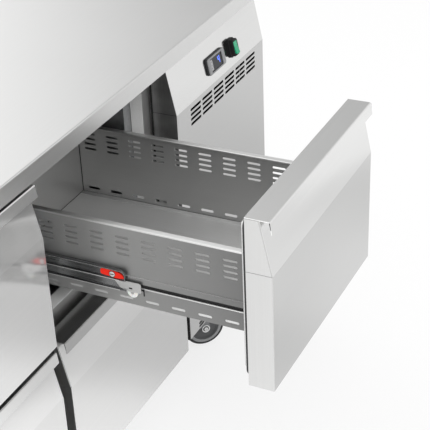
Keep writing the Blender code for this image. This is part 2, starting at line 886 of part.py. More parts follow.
def cabinet_rail(row):
    """The fixed channel of one slide, with the front roller that carries the middle member."""
    face = BOX_SIDE - SLIDE_SPACE
    top = handle_top(row) + middle_top() + CABINET_RAIL_CLEARANCE + SLIDE_SHEET
    carried = handle_top(row) + middle_bottom()
    bottom = carried - 2 * CABINET_ROLLER_RADIUS - CABINET_RAIL_CLEARANCE - SLIDE_SHEET
    reach = face + CABINET_RAIL_DEPTH
    web = face + SLIDE_SHEET
    start = BOX_FRONT + CABINET_RAIL_FRONT
    outline = [
        (face - SHEET / 2, bottom), (reach, bottom), (reach, bottom + SLIDE_SHEET),
        (web, bottom + SLIDE_SHEET), (web, top - SLIDE_SHEET), (reach, top - SLIDE_SHEET), (reach, top),
        (face - SHEET / 2, top),
    ]
    rail = prism(outline, "Y", start, start + CABINET_RAIL_LENGTH)
    z = carried - GAP - CABINET_ROLLER_RADIUS
    profile = [
        (PIN_RADIUS, face), (PIN_RADIUS, web + GAP), (CABINET_ROLLER_RADIUS, web + GAP),
        (CABINET_ROLLER_RADIUS, reach),
    ]
    roller = spindle(profile, "X", PIN_SEGMENTS)
    return joined(rail, moved(roller, 0, start + 2 * CABINET_ROLLER_RADIUS, z))


def make_slide_support(counter, column, side):
    support = prism(support_outline(), "Z", FLOOR_Z + GAP, CEILING_Z - GAP)
    for row in range(ROWS):
        support = joined(support, cabinet_rail(row))
    if side == -1:
        support = mirrored(support, FRONT_WIDTH / 2)
    name = ("left", "right")[column] + "_column_" + ("left" if side == 1 else "right") + "_support"
    piece(name, support, zinc, counter, (column_x(column), 0, 0))


# Machine compartment

def panel_bottom():
    return handle_top(ROWS - 1) - FRONT_HEIGHT + MACHINE_PANEL_RISE


def vent_cutters():
    cutters = []
    for column in range(VENT_COLUMNS):
        x = MACHINE_X + VENT_FIRST + column * VENT_PITCH
        for row in range(VENT_ROWS):
            z = BEND_Z - VENT_DROP - row * VENT_STEP
            outline = shifted(slot_outline(VENT_LENGTH, VENT_HEIGHT, 3), x, z)
            cutters.append(prism(outline, "Y", -OVERRUN, SHEET + OVERRUN))
    for n in range(LOW_VENTS):
        z = panel_bottom() + LOW_VENT_RISE + n * LOW_VENT_STEP
        outline = shifted(slot_outline(LOW_VENT_LENGTH, VENT_HEIGHT, 3), MACHINE_X + LOW_VENT_OFFSET, z)
        cutters.append(prism(outline, "Y", -OVERRUN, SHEET + OVERRUN))
    return gathered(cutters)


def on_slope(solid, offset):
    """Carries a solid made round the origin to its place on the sloped control panel."""
    x, y, z = slope_place(offset)
    rotated(solid, -math.degrees(PANEL_SLOPE), "X")
    return moved(solid, x, y, z)


def slope_place(offset):
    z = handle_top(0) - CONTROLLER_DROP
    y = (z - BEND_Z) * SLOPE_SETBACK / SLOPE_HEIGHT
    return MACHINE_X + offset, y, z


def neck_cutter(width, height, offset):
    outline = rounded(width + 2 * GAP, height + 2 * GAP, GAP)
    return on_slope(prism(outline, "Y", -OVERRUN, SHEET + OVERRUN), offset)


def make_machine_panel(counter):
    bottom = panel_bottom()
    setback = SLOPE_SETBACK * (BODY_TOP - BEND_Z) / SLOPE_HEIGHT
    back = FRAME_Y - GAP
    outer = [(0, bottom), (0, BEND_Z), (setback, BODY_TOP), (back, BODY_TOP), (back, bottom)]
    inner = [
        (SHEET, bottom + SHEET), (SHEET, BEND_Z), (setback + SHEET, BODY_TOP),
        (setback + SHEET, BODY_TOP + OVERRUN), (back + OVERRUN, BODY_TOP + OVERRUN),
        (back + OVERRUN, bottom - OVERRUN), (PANEL_RETURN, bottom - OVERRUN), (PANEL_RETURN, bottom + SHEET),
    ]
    panel = prism(outer, "X", MACHINE_X, TOTAL_WIDTH)
    hollow = prism(inner, "X", MACHINE_X + SHEET, TOTAL_WIDTH - SHEET)
    panel = cut(panel, hollow, vent_cutters())
    panel = cut(panel, neck_cutter(CONTROLLER_NECK_WIDTH, CONTROLLER_NECK_HEIGHT, CONTROLLER_OFFSET))
    panel = cut(panel, neck_cutter(SWITCH_NECK_WIDTH, SWITCH_NECK_HEIGHT, SWITCH_OFFSET))
    piece("machine_panel", panel, brushed_steel, counter)


def make_machine_shell(counter):
    start = FRAME_Y
    back = BODY_DEPTH - SHEET - GAP
    right = TOTAL_WIDTH
    inner = right - PANEL_RETURN
    outline = [
        (right, start), (right, back), (inner, back), (inner, back - SHEET), (right - SHEET, back - SHEET),
        (right - SHEET, start + SHEET), (inner, start + SHEET), (inner, start),
    ]
    piece("machine_side_panel", prism(outline, "Z", CASTOR_HEIGHT, BODY_TOP), brushed_steel, counter)
    make_rear_grille(counter)
    make_machine_base(counter, right - SHEET - GAP, back - SHEET - GAP)


def make_machine_base(counter, right, back):
    """The tray that carries the condensing unit, up to the given inner right and rear edges."""
    left = MACHINE_X + GAP
    front = FRAME_BACK + GAP
    wall = TRAY_SHEET
    tray = block((left, front, CASTOR_HEIGHT), (right, back, FLOOR_Z))
    low = (left + wall, front + wall, CASTOR_HEIGHT + wall)
    tray = cut(tray, block(low, (right - wall, back - wall, FLOOR_Z + OVERRUN)))
    for y in castor_depths():
        tray = joined(tray, castor_plate(TOTAL_WIDTH - CASTOR_INSET_END, y))
    piece("machine_base", tray, zinc, counter)


def make_rear_grille(counter):
    left = MACHINE_X + GAP
    right = TOTAL_WIDTH
    plate = block((left, BODY_DEPTH - SHEET, CASTOR_HEIGHT), (right, BODY_DEPTH, BODY_TOP))
    width = (right - left - 2 * GRILLE_MARGIN - (GRILLE_COLUMNS - 1) * GRILLE_BRIDGE) / GRILLE_COLUMNS
    height = BODY_TOP - CASTOR_HEIGHT - 2 * GRILLE_MARGIN
    cutters = []
    for column in range(GRILLE_COLUMNS):
        x = left + GRILLE_MARGIN + width / 2 + column * (width + GRILLE_BRIDGE)
        for row in range(GRILLE_ROWS):
            z = CASTOR_HEIGHT + GRILLE_MARGIN + (row + 1 / 2) * height / GRILLE_ROWS
            outline = shifted(slot_outline(width, GRILLE_SLOT_HEIGHT, 3), x, z)
            cutters.append(prism(outline, "Y", BODY_DEPTH - SHEET - OVERRUN, BODY_DEPTH + OVERRUN))
    piece("machine_rear_grille", cut(plate, gathered(cutters)), brushed_steel, counter)


# Controls on the sloped panel

def make_controller(counter):
    place = empty("controller_place", counter, slope_place(CONTROLLER_OFFSET), lean=-PANEL_SLOPE)
    face = -GAP - CONTROLLER_PROUD
    rim = prism(rounded(CONTROLLER_WIDTH, CONTROLLER_HEIGHT, CONTROLLER_ROUND), "Y", face, -GAP)
    outline = rounded(CONTROLLER_NECK_WIDTH, CONTROLLER_NECK_HEIGHT, GAP)
    neck = prism(outline, "Y", -OVERRUN, CONTROLLER_NECK_DEPTH)
    front = face + DISPLAY_RECESS
    back = front + DISPLAY_DEPTH
    well = prism(rounded(DISPLAY_WIDTH, DISPLAY_HEIGHT, GAP), "Y", face - OVERRUN, back + GAP)
    piece("controller", cut(joined(rim, neck), well), silver_plastic, place)
    glass = rounded(DISPLAY_WIDTH - 2 * GAP, DISPLAY_HEIGHT - 2 * GAP, GAP)
    piece("display_window", prism(glass, "Y", front, back), dark_plastic, place)


def rocker_outline():
    """The rocker in side view round its pivot: a flat back and a face that is hollow between its ends."""
    half = ROCKER_HEIGHT / 2
    deep = ROCKER_PIVOT_DEPTH
    front = -ROCKER_PIVOT_DEPTH - ROCKER_CLEARANCE
    lift = ROCKER_CLEARANCE
    return [
        (deep, -half / 2), (deep, half / 2), (front / 2, half), (front - lift, half),
        (front - lift / 2, half / 2), (front, 0), (front - lift / 2, -half / 2), (front - lift, -half),
        (front / 2, -half),
    ]


def make_switch(counter):
    place = empty("switch_place", counter, slope_place(SWITCH_OFFSET), lean=-PANEL_SLOPE)
    face = -GAP - SWITCH_PROUD
    rim = prism(rounded(SWITCH_WIDTH, SWITCH_HEIGHT, SWITCH_ROUND), "Y", face, -GAP)
    neck = prism(rounded(SWITCH_NECK_WIDTH, SWITCH_NECK_HEIGHT, GAP), "Y", -OVERRUN, SWITCH_NECK_DEPTH)
    outline = rounded(ROCKER_WIDTH + 2 * GAP, ROCKER_HEIGHT + 2 * ROCKER_CLEARANCE, GAP)
    well = prism(outline, "Y", face - OVERRUN, face + ROCKER_WELL)
    housing = cut(joined(rim, neck), well)
    pivot = face + ROCKER_PIVOT_DEPTH
    reach = ROCKER_WIDTH / 2 + ROCKER_CLEARANCE
    pin = spindle([(ROCKER_PIN_RADIUS, -reach), (ROCKER_PIN_RADIUS, reach)], "X", 12)
    housing = joined(housing, moved(pin, 0, pivot, 0))
    piece("switch_housing", housing, dark_plastic, place)
    hinge = empty("rocker_place", place, (0, pivot, 0), lean=math.radians(-ROCKER_TILT))
    rocker = prism(rocker_outline(), "X", -ROCKER_WIDTH / 2, ROCKER_WIDTH / 2)
    bore = spindle([(ROCKER_PIN_RADIUS + GAP, -reach), (ROCKER_PIN_RADIUS + GAP, reach)], "X", 12)
    piece("switch_rocker", cut(rocker, bore), green_plastic, hinge)


# Refrigeration machine

def fin_block(width, depth, height, fins, spine):
    """A finned block in plan: upright fins on a solid back."""
    outline = [(0, depth), (0, 0)]
    pitch = (width - FIN_SHEET) / (fins - 1)
    for n in range(fins - 1):
        x = n * pitch
        root = depth - spine
        outline += [(x + FIN_SHEET, 0), (x + FIN_SHEET, root), (x + pitch, root), (x + pitch, 0)]
    outline += [(width, 0), (width, depth)]
    return prism(outline, "Z", 0, height)


def fan_wheel(radius, hub_radius, hub_depth, segments):
    """A fan on the Y axis: pitched blades on a hub with a bore for the motor's shaft."""
    hub = spindle([(hub_radius, 0), (hub_radius, hub_depth)], "Y", segments)
    half_root = hub_depth * BLADE_ROOT_SHARE
    for n in range(FAN_BLADES):
        span = radius - hub_radius / 2
        outline = [(-half_root, 0), (half_root, 0), (2 * half_root, span), (-half_root, span)]
        blade = moved(prism(outline, "Y", -BLADE_SHEET / 2, BLADE_SHEET / 2), 0, 0, hub_radius / 2)
        limit = math.degrees(math.asin(min(1, hub_depth / (4 * half_root))))
        blade = rotated(blade, min(BLADE_PITCH, limit), "Z")
        blade = moved(blade, 0, hub_depth / 2, 0)
        hub = joined(hub, rotated(blade, n * 360 / FAN_BLADES, "Y"))
    reach = hub_depth + OVERRUN
    bore = spindle([(SHAFT_RADIUS + GAP, -OVERRUN), (SHAFT_RADIUS + GAP, reach)], "Y", 12)
    return cut(hub, bore)


def fan_place():
    """The middle of the condenser fan: along the front, depth of the shroud and height."""
    x = MACHINE_X + CONDENSER_OFFSET + CONDENSER_WIDTH / 2
    y = CONDENSER_BACK + CONDENSER_DEPTH + GAP
    z = CASTOR_HEIGHT + TRAY_SHEET + GAP + CONDENSER_HEIGHT / 2
    return x, y, z


def make_condensing_unit(counter):
    base = CASTOR_HEIGHT + TRAY_SHEET + GAP
    left = MACHINE_X + CONDENSER_OFFSET
    fins = fin_block(CONDENSER_WIDTH, CONDENSER_DEPTH, CONDENSER_HEIGHT, CONDENSER_FINS, CONDENSER_SPINE)
    piece("condenser", fins, aluminium, counter, (left, CONDENSER_BACK, base))
    x, y, z = fan_place()
    depth = FAN_HUB_DEPTH + 2 * SHROUD_RIM
    half = CONDENSER_WIDTH / 2
    tall = CONDENSER_HEIGHT / 2
    shroud = block((-half, 0, -tall), (half, depth, tall))
    wall = SHROUD_SHEET
    low = (-half + wall, -OVERRUN, -tall + wall)
    hollow = block(low, (half - wall, depth - wall, tall - wall))
    radius = FAN_RADIUS + FAN_TIP_CLEARANCE
    mouth = spindle([(radius, 0), (radius, depth + OVERRUN)], "Y", MOUTH_SEGMENTS)
    shroud = cut(shroud, hollow, mouth)
    bar = block((-half, depth - wall, -MOTOR_BAR / 2), (half, depth + wall, MOTOR_BAR / 2))
    hub_back = depth - SHROUD_RIM
    hub_front = hub_back - FAN_HUB_DEPTH
    motor = spindle([
        (SHAFT_RADIUS, hub_front - GAP), (SHAFT_RADIUS, hub_back + GAP), (MOTOR_RADIUS, hub_back + GAP),
        (MOTOR_RADIUS, hub_back + MOTOR_LENGTH),
    ], "Y", HUB_SEGMENTS)
    piece("fan_shroud", joined(shroud, bar, motor), black_paint, counter, (x, y, z))
    wheel = fan_wheel(FAN_RADIUS, FAN_HUB_RADIUS, FAN_HUB_DEPTH, HUB_SEGMENTS)
    fan = empty("condenser_fan_place", counter, (x, y + hub_front, z))
    piece("condenser_fan", wheel, dark_plastic, fan)


def make_compressor(counter):
    base = CASTOR_HEIGHT + TRAY_SHEET + GAP
    r = COMPRESSOR_RADIUS
    h = COMPRESSOR_HEIGHT
    shares = [
        (0.62, 0.0), (0.86, 0.05), (0.97, 0.14), (1.0, 0.25), (1.0, 0.48), (1.05, 0.50), (1.05, 0.53),
        (1.0, 0.55), (0.99, 0.72), (0.90, 0.87), (0.70, 0.96), (0.35, 1.0),
    ]
    start = COMPRESSOR_FOOT / 2
    profile = [(r * a, start + (h - start) * b) for a, b in shares]
    shell = spindle(profile, "Z", SHELL_SEGMENTS)
    outline = rounded(COMPRESSOR_FOOT_WIDTH, COMPRESSOR_FOOT_LENGTH, COMPRESSOR_FOOT * 3)
    foot = prism(outline, "Z", 0, COMPRESSOR_FOOT)
    low = (r - TERMINAL_DEPTH / 2, -TERMINAL_WIDTH / 2, h / 2 - TERMINAL_HEIGHT / 2)
    high = (r + TERMINAL_DEPTH / 2, TERMINAL_WIDTH / 2, h / 2 + TERMINAL_HEIGHT / 2)
    place = (MACHINE_X + CONDENSER_OFFSET + CONDENSER_WIDTH / 2, COMPRESSOR_BACK, base)
    piece("compressor", joined(shell, foot, block(low, high)), black_paint, counter, place, 40)


def make_evaporator(counter):
    """A fan coil in a sheet cover, in the space between the two columns, against the rear wall."""
    space_left = column_x(0) + FRONT_WIDTH - OPENING_SIDE
    space_right = column_x(1) + OPENING_SIDE
    width = space_right - space_left - 2 * EVAPORATOR_SIDE_GAP
    back = BODY_DEPTH - REAR_WALL - 2 * GAP
    front = back - EVAPORATOR_LENGTH
    low = FLOOR_Z + EVAPORATOR_RISE
    left = space_left + EVAPORATOR_SIDE_GAP
    sheet = EVAPORATOR_SHEET
    long = EVAPORATOR_LENGTH
    tall = EVAPORATOR_HEIGHT
    cover = block((0, 0, 0), (width, long, tall))
    hollow = block((sheet, sheet, sheet), (width - sheet, long + OVERRUN, tall - sheet))
    fan_y = EVAPORATOR_FAN_RADIUS + FAN_TIP_CLEARANCE + 3 * sheet
    fan_z = tall / 2
    radius = EVAPORATOR_FAN_RADIUS + FAN_TIP_CLEARANCE
    mouth = spindle([(radius, width / 2), (radius, width + OVERRUN)], "X", MOUTH_SEGMENTS)
    mouth = moved(mouth, 0, fan_y, fan_z)
    coil_front = long * (1 - COIL_SHARE)
    edge = 4 * sheet
    window = block((-OVERRUN, coil_front, edge), (width + OVERRUN, long - 2 * edge, tall - edge))
    motor_end = sheet + EVAPORATOR_MOTOR_LENGTH
    hub_end = motor_end + GAP + EVAPORATOR_HUB_DEPTH
    motor = spindle([
        (EVAPORATOR_HUB_RADIUS, sheet / 2), (EVAPORATOR_HUB_RADIUS, motor_end), (SHAFT_RADIUS, motor_end),
        (SHAFT_RADIUS, hub_end + GAP),
    ], "X", HUB_SEGMENTS)
    cover = joined(cut(cover, hollow, mouth, window), moved(motor, 0, fan_y, fan_z))
    piece("evaporator_cover", cover, bright_steel, counter, (left, front, low))
    wheel = fan_wheel(EVAPORATOR_FAN_RADIUS, EVAPORATOR_HUB_RADIUS, EVAPORATOR_HUB_DEPTH, HUB_SEGMENTS)
    wheel = rotated(wheel, -90, "Z")
    fan = empty("evaporator_fan_place", counter, (left + motor_end + GAP, front + fan_y, low + fan_z))
    piece("evaporator_fan", wheel, dark_plastic, fan)
    coil_length = long * COIL_SHARE - edge
    coil_height = tall - 2 * sheet - 2 * GAP
    coil_width = width - 2 * sheet - 2 * GAP
    coil = fin_block(coil_length, coil_width, coil_height, COIL_FINS, CONDENSER_SPINE)
    coil = moved(rotated(coil, 90, "Z"), coil_width, 0, 0)
    place = (left + sheet + GAP, front + coil_front + 2 * sheet, low + sheet + GAP)
    piece("evaporator_coil", coil, aluminium, counter, place)


# Castors

def castor_depths():
    return CASTOR_INSET_FRONT, BODY_DEPTH - CASTOR_INSET_BACK


def castor_plate(x, y):
    """The mounting plate and king pin of one castor, under the base that carries it."""
    half = CASTOR_PLATE / 2
    under = CASTOR_HEIGHT - CASTOR_PLATE_SHEET
    plate = block((x - half, y - half, under), (x + half, y + half, CASTOR_HEIGHT - GAP))
    pad_front = max(y - half, FRAME_BACK) + 2 * GAP
    inner = half - GAP
    pad = block((x - inner, pad_front, under + SHEET), (x + inner, y + inner, CASTOR_HEIGHT + SHEET))
    plate = joined(plate, pad)
    neck = under - KING_PIN_LENGTH
    pin = spindle([
        (KING_NUT_RADIUS, neck - KING_NUT_HEIGHT), (KING_NUT_RADIUS, neck), (KING_PIN_RADIUS, neck),
        (KING_PIN_RADIUS, under + SHEET),
    ], "Z", PIN_SEGMENTS)
    return joined(plate, moved(pin, x, y, 0))


def wheel_height():
    """The axle's height: the wheel stands on one of its flats."""
    return WHEEL_RADIUS * math.cos(math.pi / WHEEL_SEGMENTS)


def castor_fork():
    """The swivel fork round its king pin: a crown, two legs that lean to the axle, and the axle."""
    top = CASTOR_HEIGHT - CASTOR_PLATE_SHEET - GAP
    under = top - KING_PIN_LENGTH + 2 * GAP
    crown = spindle([(CROWN_RADIUS, under), (CROWN_RADIUS, top)], "Z", 16)
    bore = KING_PIN_RADIUS + GAP
    inner = WHEEL_WIDTH / 2 + WHEEL_SIDE_GAP
    outer = inner + FORK_SHEET
    axle = wheel_height()
    wide = CROWN_RADIUS * FORK_WIDTH_SHARE
    foot = AXLE_HEAD_RADIUS
    trail = CASTOR_TRAIL
    leg = [
        (-wide, top - FORK_SHEET), (wide, top - FORK_SHEET), (wide, under), (-trail + 2 * foot, axle),
        (-trail + foot, axle - foot), (-trail - foot, axle - foot), (-trail - 3 * foot / 2, axle),
        (-CROWN_RADIUS, under),
    ]
    fork = joined(crown, prism(leg, "X", inner, outer), prism(leg, "X", -outer, -inner))
    seat = outer - FORK_SHEET / 2
    end = outer + AXLE_HEAD
    rod = spindle([
        (foot, -end), (foot, -seat), (AXLE_RADIUS, -seat), (AXLE_RADIUS, seat), (foot, seat), (foot, end),
    ], "X", PIN_SEGMENTS)
    fork = joined(fork, moved(rod, 0, -trail, axle))
    return cut(fork, spindle([(bore, under - OVERRUN), (bore, top + OVERRUN)], "Z", PIN_SEGMENTS))


def castor_wheel():
    """A wheel with a raised hub, a dished web and a rounded tread, one flat of it downwards."""
    half = WHEEL_WIDTH / 2
    bore = AXLE_RADIUS + GAP
    side_shares = [(0.32, 1.0), (0.36, 0.45), (0.66, 0.45), (0.72, 0.86), (1.0, 0.82)]
    near = [(WHEEL_RADIUS * r, -half * x) for r, x in side_shares]
    far = [(r, -x) for r, x in reversed(near)]
    profile = [(bore, -half), *near, *far, (bore, half)]
    return turned(profile, "X", WHEEL_SEGMENTS, math.pi / WHEEL_SEGMENTS)


def make_castors(counter):
    front, back = castor_depths()
    places = {
        "front_left": (CASTOR_INSET_END, front),
        "front_right": (TOTAL_WIDTH - CASTOR_INSET_END, front),
        "rear_left": (CASTOR_INSET_END, back),
        "rear_right": (TOTAL_WIDTH - CASTOR_INSET_END, back),
    }
    for name, (x, y) in places.items():
        swivel = empty(name + "_castor_place", counter, (x, y, 0), yaw=math.radians(CASTOR_YAW))
        piece(name + "_castor_fork", castor_fork(), zinc, swivel)
        place = (0, -CASTOR_TRAIL, wheel_height())
        piece(name + "_castor_wheel", castor_wheel(), grey_rubber, swivel, place, 30)


def build():
    for thing in list(bpy.data.objects):
        bpy.data.objects.remove(thing)
    counter = empty("counter_place", None, (-TOTAL_WIDTH / 2, FACE_Y, 0))
    make_worktop(counter)
    make_front_frame(counter)
    make_body_panels(counter)
    for column in range(COLUMNS):
        for row in range(ROWS):
            make_drawer(counter, column, row)
        for side in (1, -1):
            make_slide_support(counter, column, side)
    make_machine_panel(counter)
    make_machine_shell(counter)
    make_controller(counter)
    make_switch(counter)
    make_condensing_unit(counter)
    make_compressor(counter)
    make_evaporator(counter)
    make_castors(counter)


build()
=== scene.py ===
"""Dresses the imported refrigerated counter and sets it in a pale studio.

Metres, +Z up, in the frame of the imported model. Drawer pieces are made round the upper front left
corner of their drawer, and sheets and panels of the body round the counter's front left corner on the
floor. Controls and castors are made round their own place on the body.
"""

import math

import bmesh
import bpy
from mathutils import Euler, Matrix, Vector


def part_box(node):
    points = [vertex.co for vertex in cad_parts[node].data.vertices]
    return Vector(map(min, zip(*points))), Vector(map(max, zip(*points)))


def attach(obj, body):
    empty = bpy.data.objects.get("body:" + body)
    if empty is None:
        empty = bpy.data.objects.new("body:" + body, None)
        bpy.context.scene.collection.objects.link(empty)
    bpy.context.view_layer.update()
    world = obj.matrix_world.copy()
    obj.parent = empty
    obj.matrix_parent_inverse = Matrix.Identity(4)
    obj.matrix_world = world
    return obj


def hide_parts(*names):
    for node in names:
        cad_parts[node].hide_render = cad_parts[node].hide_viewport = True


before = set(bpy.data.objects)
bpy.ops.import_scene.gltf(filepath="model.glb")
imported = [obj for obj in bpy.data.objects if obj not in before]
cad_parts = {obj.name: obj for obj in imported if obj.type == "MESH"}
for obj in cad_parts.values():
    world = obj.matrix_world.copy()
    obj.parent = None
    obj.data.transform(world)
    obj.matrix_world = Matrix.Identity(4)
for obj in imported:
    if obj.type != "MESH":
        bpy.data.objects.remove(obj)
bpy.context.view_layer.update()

bl_info = {
    "name": "Refrigerated counter dressing",
    "version": (1, 0, 0),
    "blender": (4, 5, 0),
    "location": "3D View > Sidebar > Counter",
    "description": "Finishes, sheet metal details and studio of a refrigerated counter with drawers",
    "category": "Object",
}

# Sizes of the frame that the pieces repeat
GAP = 0.0003
SHEET = 0.0012
SLOPE_HEIGHT = 0.099
SLOPE_SETBACK = 0.021
HANDLE_SHEET = 0.0016
LIP_HEIGHT = 0.0225
LIP_LEAN = 0.003
LINER_DEPTH = 0.018
LINER_CLEARANCE = 0.003
OPENING_SIDE = 0.024
OPENING_TOP = 0.024
OPENING_BOTTOM = 0.011
GASKET_WIDTH = 0.0105
GASKET_THICKNESS = 0.0107
BOX_SHEET = 0.001
BOX_FLANGE = 0.012
BOX_FOLD = 0.012
RAIL_DEPTH = 0.0048
RAIL_RISE = 0.039
RAIL_HEIGHT = 0.020
RAIL_LENGTH = 0.405
SLIDE_SHEET = 0.0012
SLIDE_SPACE = 0.013
MIDDLE_OFFSET = 0.0056
CABINET_RAIL_DEPTH = 0.0046
CABINET_RAIL_FRONT = 0.0015
CABINET_ROLLER_RADIUS = 0.008
MIDDLE_DEPTH = 0.0052
MIDDLE_INNER_REACH = 0.0045
MIDDLE_RISE = 0.031
MIDDLE_HEIGHT = 0.040
MIDDLE_FRONT = 0.072
MIDDLE_LENGTH = 0.488
BRACKET_LENGTH = 0.038
BRACKET_STEP = 0.029
ROLLER_RADIUS = 0.0105
ROLLER_WIDTH = 0.0034
ROLLER_SIDE_GAP = 0.0006
PIN_RADIUS = 0.003
PIN_HEAD_RADIUS = 0.005
PIN_HEAD = 0.0004
LEVER_LENGTH = 0.046
LEVER_HEIGHT = 0.011
LEVER_THICKNESS = 0.0026
LEVER_PIVOT = 0.0575
LEVER_SWING = math.radians(6)
BODY_DEPTH = 0.695
CASTOR_HEIGHT = 0.128
MACHINE_X = 0.954
PANEL_RETURN = 0.015
PANEL_TRIM = 0.0047
VENT_COLUMNS = 6
VENT_ROWS = 4
VENT_FIRST = 0.088
VENT_PITCH = 0.0543
VENT_STEP = 0.0106
VENT_DROP = 0.014
LOW_VENTS = 2
LOW_VENT_OFFSET = 0.065
LOW_VENT_RISE = 0.006
LOW_VENT_STEP = 0.008
LOW_VENT_LENGTH = 0.026
GRILLE_COLUMNS = 3
GRILLE_ROWS = 9
GRILLE_SLOT_HEIGHT = 0.008
GRILLE_MARGIN = 0.045
GRILLE_BRIDGE = 0.020
TOP_EDGE_RADIUS = 0.003
CONTROLLER_OFFSET = 0.197
CONTROLLER_DROP = 0.062
CONTROLLER_WIDTH = 0.076
CONTROLLER_HEIGHT = 0.036
THERMOSTAT_PROUD = 0.0062
CONTROLLER_NECK = (0.070, 0.030, 0.032)
DISPLAY_WIDTH = 0.050
DISPLAY_HEIGHT = 0.024
DISPLAY_DEPTH = 0.002
DISPLAY_RECESS = 0.0015
SWITCH_OFFSET = 0.277
SWITCH_WIDTH = 0.030
SWITCH_HEIGHT = 0.040
SWITCH_PROUD = 0.013
SWITCH_NECK = (0.026, 0.034, 0.022)
LIT_WIDTH = 0.0145
ROCKER_HEIGHT = 0.027
ROCKER_WELL = 0.008
ROCKER_CLEARANCE = 0.0015
ROCKER_PIVOT_DEPTH = 0.0025
ROCKER_PIN_RADIUS = 0.0015
ROCKER_TILT = math.radians(8)
CASTOR_INSET_END = 0.232
CASTOR_INSET_FRONT = 0.1035
CASTOR_INSET_BACK = 0.110
CASTOR_YAW = math.radians(47)
CASTOR_TRAIL = 0.036
CASTOR_PLATE_SHEET = 0.003
KING_PIN_RADIUS = 0.006
KING_PIN_LENGTH = 0.010
CROWN_RADIUS = 0.030
FORK_SHEET = 0.003
WHEEL_WIDTH = 0.028
WHEEL_SIDE_GAP = 0.0015
AXLE_RADIUS = 0.005
AXLE_HEAD_RADIUS = 0.010
AXLE_HEAD = 0.004

# Details of every piece
FOLD_ANGLE = math.radians(28)
LEAST_CORNER = 0.0001
WELD_DISTANCE = 0.00001

# Drawer fronts in detail
CAP_SEAM = 0.0004
CAP_INSET = 0.0001
LIP_LINE_SHARE = 0.62
LINER_CORNER = 0.004
UPPER_LEFT_DROP = 0.001

# Drawer boxes in detail
BOX_RIM = 0.003
BOX_RIM_BEND = 0.0016
BOX_CORNER = 0.0002
BOX_LINE = 0.0009
SLOT_ROWS = 4
SLOT_FIRST = 0.028
SLOT_ENDS = 0.058
SLOT_DROP = 0.0384
LOW_SLOT_RISE = 0.0115
LOW_SLOT_HEIGHT = 0.0058
# A pale backing behind the left wall's low slots: painted light seen through them
BACKING_LOW = 0.0078
BACKING_HIGH = 0.0152
# The box floor's strip along the left wall, painted light where it shows through the slots: its width, where
# it has faded out, and its metallic share
NEAR_STRIP = 0.17
NEAR_STRIP_END = 0.24
NEAR_STRIP_METAL = 0.1

# Slides in detail
RAIL_GROOVE = 0.008
RAIL_STOP = 0.001
CHEEK_FRONT = 0.012
CHEEK_REAR = 0.009
CHEEK_RISE = 0.006
MEMBER_CORNER = 0.010
RIDGE_START = 0.012
BRACKET_LIFT = 0.0026
BRACKET_CORNER = 0.004
BRACKET_HEEL = 0.006
BRACKET_RAMP = (0.004, 0.005)
BRACKET_TAIL = 0.016
RIVET_PLACE = (0.002, 0.0095)
RIVET_SIZE = (0.007, 0.0034)
RIVET_MARGIN = 0.001
RIVET_CORNER = 0.0008
HOOK_BACK = 0.002
HOOK_LEDGE = 0.0040
HOOK_FRONT = 0.0062
HOOK_FOOT = 0.002
HOOK_SHOULDER = 0.012
HOOK_TOP = 0.015
LEVER_SHIFT = 0.003
LEVER_EDGE = 0.0004
LEVER_RING_RADIUS = 0.0062
LEVER_SCREW_RADIUS = 0.0052
LEVER_SCREW_HEIGHT = 0.0009
DIMPLE_SPOTS = (0.16, 0.31, 0.46)
DIMPLE_RADIUS = 0.0024
DIMPLE_TOP_RADIUS = 0.0016
DIMPLE_HEIGHT = 0.0008
DIMPLE_DROP = 0.009
ROLLER_CHAMFER = 0.0004

# Worktop, machine panel and openings in detail
HEM = 0.002
HEM_INSET = 0.0016
CUTOUT_CORNER = 0.001
RETURN_EDGE = 0.005
TRIM_SHADOW = 0.010
SLIT_WIDTH = 0.0042
SLIT_DROP = 0.004
BEND_LINE = 0.0004
BREAKER_SHEET = 0.0008
BREAKER_OVERLAP = 0.0002
BREAKER_CORNER = 0.0012

# Controls in detail
CONTROLLER_RIM = 0.003
CONTROLLER_CORNER = 0.006
WINDOW_MARGIN = (0.004, 0.0045)
WINDOW_CORNER = 0.0025
WINDOW_FLANGE = (0.004, 0.001)
WINDOW_FLANGE_CORNER = 0.003
GLASS_CORNER = 0.0023
KEY_PLACE = -0.0208
KEY_WIDTH = 0.0100
KEY_MARGIN = 0.0014
KEY_CORNER = 0.0012
KEY_STEP = 0.0066
KEY_MARK = (0.0022, 0.0012, 0.0004)
DIGIT_PLACE = (0.0120, 0, 0.001)
DIGIT_SIZE = 0.0080
STROKE = 0.0018
STROKE_CORNER = 0.0008
SWITCH_TRIM = 0.003
WELL_END = 0.002
WELL_END_CORNER = 0.0009
ROCKER_EDGE = 0.0012

# Castors in detail
RACE_LIP = 0.0014
RACE_SHOULDER = 0.0032
RACE_CREST = 0.0026
LEG_TOP = 0.003
LEG_BEND = 0.002
LEG_FRONT_RISE = 0.004
LEG_REAR_RISE = 0.006
WASHER_DISH = 0.0010
WASHER_BRIM = 0.0020
WASHER_CROWN = 0.0026
NUT_BASE = 0.0008
NUT_SHOULDER = 0.0034
NUT_TOP = 0.0038
STUD_START = 0.003

# Grain of the brushed finishes, per metre on each axis
GRAIN_ALONG = (4, 900, 900)
GRAIN_BACK = (900, 6, 900)
GRAIN_UPRIGHT = (900, 900, 4)
GRAIN_LINING = (900, 900, 6)
# Radius of the lighter edges: wear and painted edge highlight
WEAR_AND_HIGHLIGHT_RADIUS = 0.0012

